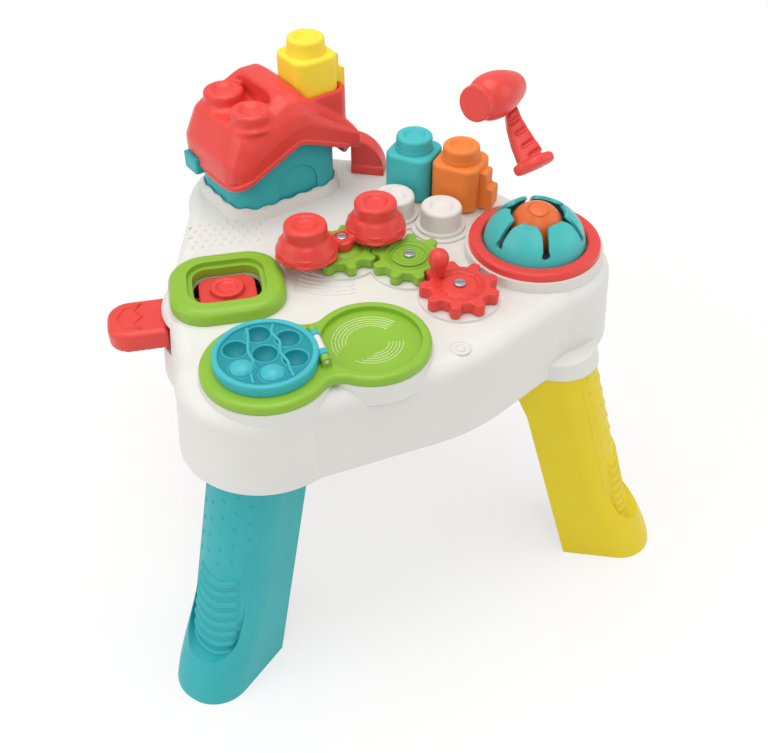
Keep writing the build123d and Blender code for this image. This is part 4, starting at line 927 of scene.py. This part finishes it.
@dataclass
class FlipTray:
    """Green tray with its dish, and the flip-over disc of soft bubbles."""

    x: float = -80.5
    y: float = -140.0
    turn: float = 19.0
    pitch: float = 80.0
    dish_low: float = 7.5
    far_radii: tuple[float, ...] = (19.0, 21.6, 24.2, 26.8, 29.4)
    near_radii: tuple[float, ...] = (13.6, 16.2, 18.8, 21.4, 24.0)
    far_start: float = 50.0
    far_end: float = 195.0
    far_end_step: float = 5.0
    near_start: float = 280.0
    near_start_step: float = 10.0
    near_end: float = 364.0
    arc_radius: float = 0.45
    arc_sides: int = 6
    arc_steps: int = 40
    ridge_level: float = 18.6
    ridge_radius: float = 1.3
    ridge_tip: float = 0.8
    bubble_ring: float = 22.6
    bubble_turn: float = -11.6
    bubble_count: int = 6
    bubble_edge: float = 9.9
    edge_radius: float = 0.5
    edge_steps: int = 40
    popped: tuple[int, ...] = (4, 5)
    dome_radius: float = 9.2
    dome_rise: float = 5.3
    ridges: tuple[tuple[Place, ...], ...] = (
        (
            (-16.5, 28.5), (-14.6, 21.0), (-13.6, 13.2), (-12.4, 1.8),
            (-7.6, -9.4), (-8.4, -19.8), (-5.4, -32.0),
        ),
        (
            (3.0, 33.0), (2.8, 23.4), (9.4, 13.2), (10.7, 1.8),
            (16.6, -8.0), (18.9, -16.0), (22.4, -24.0),
        ),
    )

    def build(self) -> None:
        """Dress the nodes and add the ridges, edges and domes of the sheet and the arcs of the dish."""
        dress("flip_tray", GREEN)
        dress("popit_rim", RIM_BLUE)
        dress("popit_sheet", POP_BLUE)
        dress("flip_hinge_pin", WHITE)
        self.wave_ridges()
        self.bubble_edges()
        self.popped_domes()
        self.dish_arcs()

    def wave_ridges(self) -> None:
        """Two winding ridges between the bubbles."""
        shape = bmesh.new()
        level = DECK + self.ridge_level
        for ridge in self.ridges:
            path = [at(self.x + x, self.y + y, level) for x, y in smooth(ridge)]
            bead(shape, path, self.ridge_radius * MM, tip=self.ridge_tip)
        settle(shape, "popit_ridges", "flip_disc", RIM_BLUE)

    def bubble(self, index: int) -> Place:
        """Middle of one bubble of the outer ring, in the layout."""
        turn = self.bubble_turn + FULL_TURN * index / self.bubble_count
        return beside(self.x, self.y, turn, self.bubble_ring, 0)

    def popped_domes(self) -> None:
        """Smooth skin of the two bubbles that stand up, in the lighter rim blue as painted light that the
        raised domes catch.
        """
        shape = bmesh.new()
        flat = Matrix.Diagonal((1, 1, self.dome_rise / self.dome_radius, 1))
        level = DECK + self.ridge_level
        for index in self.popped:
            place = Matrix.Translation(at(*self.bubble(index), level)) @ flat
            bmesh.ops.create_icosphere(shape, subdivisions=4, radius=self.dome_radius * MM, matrix=place)
        bmesh.ops.bisect_plane(
            shape,
            geom=[*shape.verts, *shape.edges, *shape.faces],
            plane_co=at(self.x, self.y, level),
            plane_no=(0, 0, 1),
            clear_inner=True,
        )
        bmesh.ops.holes_fill(shape, edges=shape.edges)
        # The domes are the same silicone as the sheet; the lighter rim blue on them is painted light.
        settle(shape, "popit_popped_domes_painted_light", "flip_disc", RIM_BLUE)

    def bubble_edges(self) -> None:
        """Raised edge round each bubble."""
        shape = bmesh.new()
        spots = [self.bubble(index) for index in range(self.bubble_count)]
        for spot in [(self.x, self.y), *spots]:
            middle = at(*spot, DECK + self.ridge_level)
            hoop(shape, middle, self.bubble_edge * MM, self.edge_radius * MM, self.edge_steps)
        settle(shape, "popit_bubble_edges", "flip_disc", RIM_BLUE)

    def dish_arcs(self) -> None:
        """Fine pale arcs on the floor of the dish, in two groups."""
        shape = bmesh.new()
        x, y = beside(self.x, self.y, self.turn, self.pitch, 0)
        level = DECK + self.dish_low
        for index, radius in enumerate(self.far_radii):
            end = self.far_end + self.far_end_step * index
            path = arc_points(x, y, level, radius, self.far_start, end, self.arc_steps)
            bead(shape, path, self.arc_radius * MM, self.arc_sides)
        for index, radius in enumerate(self.near_radii):
            start = self.near_start - self.near_start_step * index
            path = arc_points(x, y, level, radius, start, self.near_end, self.arc_steps)
            bead(shape, path, self.arc_radius * MM, self.arc_sides)
        settle(shape, "dish_arcs", "table", PALE_GREEN)


@dataclass
class GearTrain:
    """Crank, idler and carousel gears with their screws, raised rings and the wavy brims of the hats."""

    idler: Place = (25.3, -8.4)
    crank: Place = (64.32, -49.95)
    wheel: Place = (-30.22, 4.52)
    carousel_turn: float = 31.0
    hat_place: float = 32.5
    brim_levels: tuple[tuple[float, float], ...] = ((18.6, 24.6), (23.4, 23.0))
    brim_lobes: int = 6
    brim_swing: float = 1.1
    brim_radius: float = 1.5
    brim_steps: int = 72
    gear_high: float = 11.5
    crank_high: float = 13.0
    ring_radii: tuple[float, ...] = (8.5, 11.5, 14.6, 19.8)
    ring_thick: float = 0.7
    crank_ring: float = 19.4
    soft_cell: float = 0.8
    soft_rounds: int = 3
    dot_count: int = 8
    dot_place: float = 16.0
    dot_radius: float = 1.5
    dot_sink: float = 1.5

    def build(self) -> None:
        """Dress the nodes and add the rings, dots and brims."""
        dress("crank_gear", RED)
        dress("crank_knob", RED)
        dress("idler_gear", GREEN)
        dress("carousel_gear", GREEN)
        dress("carousel", RED)
        dress("gear_screws", STEEL)
        for node in ("carousel", "crank_gear", "idler_gear", "carousel_gear"):
            soften(node, self.soft_cell, self.soft_rounds)
        self.gear_rings()
        self.brims()

    def gear_rings(self) -> None:
        """Rings on the idler, and a ring with dots on the crank."""
        shape = bmesh.new()
        for radius in self.ring_radii:
            hoop(shape, at(*self.idler, DECK + self.gear_high), radius * MM, self.ring_thick * MM)
        settle(shape, "idler_rings", "idler", GREEN)
        shape = bmesh.new()
        hoop(shape, at(*self.crank, DECK + self.crank_high), self.crank_ring * MM, self.ring_thick * MM)
        for dot in range(self.dot_count):
            x, y = beside(*self.crank, FULL_TURN * dot / self.dot_count, self.dot_place, 0)
            pimple(shape, at(x, y, DECK + self.crank_high - self.dot_sink), self.dot_radius * MM)
        settle(shape, "crank_rings", "crank", RED)

    def brims(self) -> None:
        """Two wavy beads round the skirt of each hat, each with its level and radius."""
        shape = bmesh.new()
        for side in (-1, 1):
            middle = beside(*self.wheel, self.carousel_turn, side * self.hat_place, 0)
            for level, radius in self.brim_levels:
                path = []
                for step in range(self.brim_steps + 1):
                    gone = FULL_TURN * step / self.brim_steps
                    wave = self.brim_swing * math.cos(math.radians(self.brim_lobes * gone))
                    x, y = beside(*middle, self.carousel_turn + gone, radius + wave, 0)
                    path.append(at(x, y, DECK + level))
                bead(shape, path, self.brim_radius * MM, tip=1.0)
        settle(shape, "hat_brims", "turntable", RED)


@dataclass
class BallDome:
    """Petal dome with a loose ball, held by a red ring on its drum."""

    def build(self) -> None:
        """Dress the nodes."""
        dress("dome_bezel", RED)
        dress("petal_dome", DOME_TEAL)
        dress("dome_ball", BALL_ORANGE)
        # The cup's grey is partly painted shade for the inside of the dome.
        dress("ball_cup", CUP_SHADE_GREY)


@dataclass
class Hammer:
    """Loose hammer held in the air."""

    cell: float = 0.8
    rounds: int = 8

    def build(self) -> None:
        """Dress the hammer and round its edges."""
        dress("hammer", RED)
        soften("hammer", self.cell, self.rounds)


@dataclass(frozen=True)
class Lamp:
    """Square soft lamp: its place and side in metres and its power in watts."""

    name: str
    place: tuple[float, float, float]
    size: float
    power: float


@dataclass
class Studio:
    """Pale floor, level soft light and the camera of the photograph."""

    lights: tuple[Lamp, ...] = (
        Lamp("soft_top", (-0.15, 0.1, 1.9), 1.4, 15.0),
        Lamp("soft_left", (-1.6, -0.7, 1.2), 1.2, 8.0),
        Lamp("soft_right", (1.7, -0.1, 1.0), 1.2, 5.0),
        Lamp("soft_front", (0.1, -1.4, 1.9), 0.9, 6.0),
    )
    target: tuple[float, float, float] = (0.0, 0.0, 0.25)
    eye: tuple[float, float, float] = (4.7, -681.6, 788.7)
    tilt: float = 42.26
    lens: float = 46.875
    sensor: float = 36.0
    nearest: float = 0.05
    floor_cells: int = 8
    floor_half: float = 4.0
    clear_near: float = 0.30
    clear_far: float = 0.70
    clear_least: float = 0.62
    sky: float = 0.58

    def build(self) -> None:
        """Set up view, floor, world, lamps and camera."""
        bpy.context.scene.view_settings.view_transform = "Standard"
        self.floor()
        self.world()
        self.lamps()
        self.camera()

    def floor(self) -> None:
        """Pale floor that shows the shadow near the table and turns plain white farther out."""
        shape = bmesh.new()
        cells = self.floor_cells
        bmesh.ops.create_grid(shape, x_segments=cells, y_segments=cells, size=self.floor_half)
        mesh = bpy.data.meshes.new("floor")
        shape.to_mesh(mesh)
        shape.free()
        material = bpy.data.materials.new("floor_paper")
        material.use_nodes = True
        tree = material.node_tree
        tree.nodes.clear()
        place = put(tree, "ShaderNodeTexCoord").outputs["Object"]
        reach = put(tree, "ShaderNodeVectorMath", {0: place}, operation="LENGTH")
        fade = put(
            tree,
            "ShaderNodeMapRange",
            {
                "Value": reach.outputs["Value"],
                "From Min": self.clear_near,
                "From Max": self.clear_far,
                "To Min": self.clear_least,
            },
            interpolation_type="SMOOTHSTEP",
        )
        ray = put(tree, "ShaderNodeLightPath")
        seen = put(
            tree,
            "ShaderNodeMath",
            {0: ray.outputs["Is Camera Ray"], 1: ray.outputs["Is Glossy Ray"]},
            operation="MAXIMUM",
        )
        through = put(
            tree,
            "ShaderNodeMath",
            {0: seen.outputs["Value"], 1: ray.outputs["Is Transmission Ray"]},
            operation="MAXIMUM",
        )
        share = put(
            tree,
            "ShaderNodeMath",
            {0: fade.outputs["Result"], 1: through.outputs["Value"]},
            operation="MULTIPLY",
        )
        paper = put(tree, "ShaderNodeBsdfDiffuse", {"Color": linear("#F7F7F6")})
        glow = put(tree, "ShaderNodeEmission", {"Color": linear("#FFFFFF"), "Strength": 1.0})
        mix = put(
            tree,
            "ShaderNodeMixShader",
            {"Fac": share.outputs["Value"], 1: paper.outputs["BSDF"], 2: glow.outputs["Emission"]},
        )
        put(tree, "ShaderNodeOutputMaterial", {"Surface": mix.outputs["Shader"]})
        mesh.materials.append(material)
        floor = bpy.data.objects.new("floor", mesh)
        bpy.context.scene.collection.objects.link(floor)

    def world(self) -> None:
        """Even grey sky for the light, plain white where the camera sees it."""
        world = bpy.data.worlds.new("studio")
        bpy.context.scene.world = world
        world.use_nodes = True
        tree = world.node_tree
        tree.nodes.clear()
        ray = put(tree, "ShaderNodeLightPath")
        seen = put(
            tree,
            "ShaderNodeMath",
            {0: ray.outputs["Is Camera Ray"], 1: ray.outputs["Is Transmission Ray"]},
            operation="MAXIMUM",
        )
        light = put(tree, "ShaderNodeBackground", {"Color": linear("#FFFFFF"), "Strength": self.sky})
        plain = put(tree, "ShaderNodeBackground", {"Color": linear("#FFFFFF"), "Strength": 1.0})
        mix = put(
            tree,
            "ShaderNodeMixShader",
            {"Fac": seen.outputs["Value"], 1: light.outputs["Background"], 2: plain.outputs["Background"]},
        )
        put(tree, "ShaderNodeOutputWorld", {"Surface": mix.outputs["Shader"]})

    def lamps(self) -> None:
        """Hang a wide lamp above and weaker ones at the sides and the front."""
        target = Vector(self.target)
        for light in self.lights:
            data = bpy.data.lights.new(light.name, "AREA")
            data.shape = "SQUARE"
            data.size = light.size
            data.energy = light.power
            lamp = bpy.data.objects.new(light.name, data)
            lamp.location = light.place
            lamp.rotation_euler = (target - lamp.location).to_track_quat("-Z", "Y").to_euler()
            bpy.context.scene.collection.objects.link(lamp)

    def camera(self) -> None:
        """Set the camera where the photograph was taken."""
        data = bpy.data.cameras.new("camera")
        data.sensor_fit = "HORIZONTAL"
        data.sensor_width = self.sensor
        data.lens = self.lens
        data.clip_start = self.nearest
        camera = bpy.data.objects.new("camera", data)
        camera.location = at(*self.eye)
        camera.rotation_euler = (math.radians(90 - self.tilt), 0.0, 0.0)
        bpy.context.scene.collection.objects.link(camera)
        bpy.context.scene.camera = camera


class Assembly(Protocol):
    """Anything that can build and dress itself."""

    def build(self) -> None:
        """Build and dress the pieces."""


def assemblies() -> Iterable[Assembly]:
    """List the sub-assemblies in the order in which they are built.

    Returns:
        The studio first, then the parts of the table.
    """
    return (
        Studio(),
        TableTop(),
        Leg("leg_front_left", x=-114.5, y=-157.3, turn=-124.0, finish=TEAL),
        Leg("leg_right", x=184.0, y=-36.0, turn=-8.0, finish=YELLOW),
        Leg("leg_back", x=-86.0, y=164.0, turn=118.0, finish=RED),
        House(),
        StackingBlocks(),
        Launcher(),
        FlipTray(),
        GearTrain(),
        BallDome(),
        Hammer(),
    )


def main() -> None:
    """Build everything."""
    logging.basicConfig(level=logging.INFO, format="%(message)s")
    for assembly in assemblies():
        LOG.info("making %s", type(assembly).__name__)
        assembly.build()


if __name__ == "__main__":
    main()
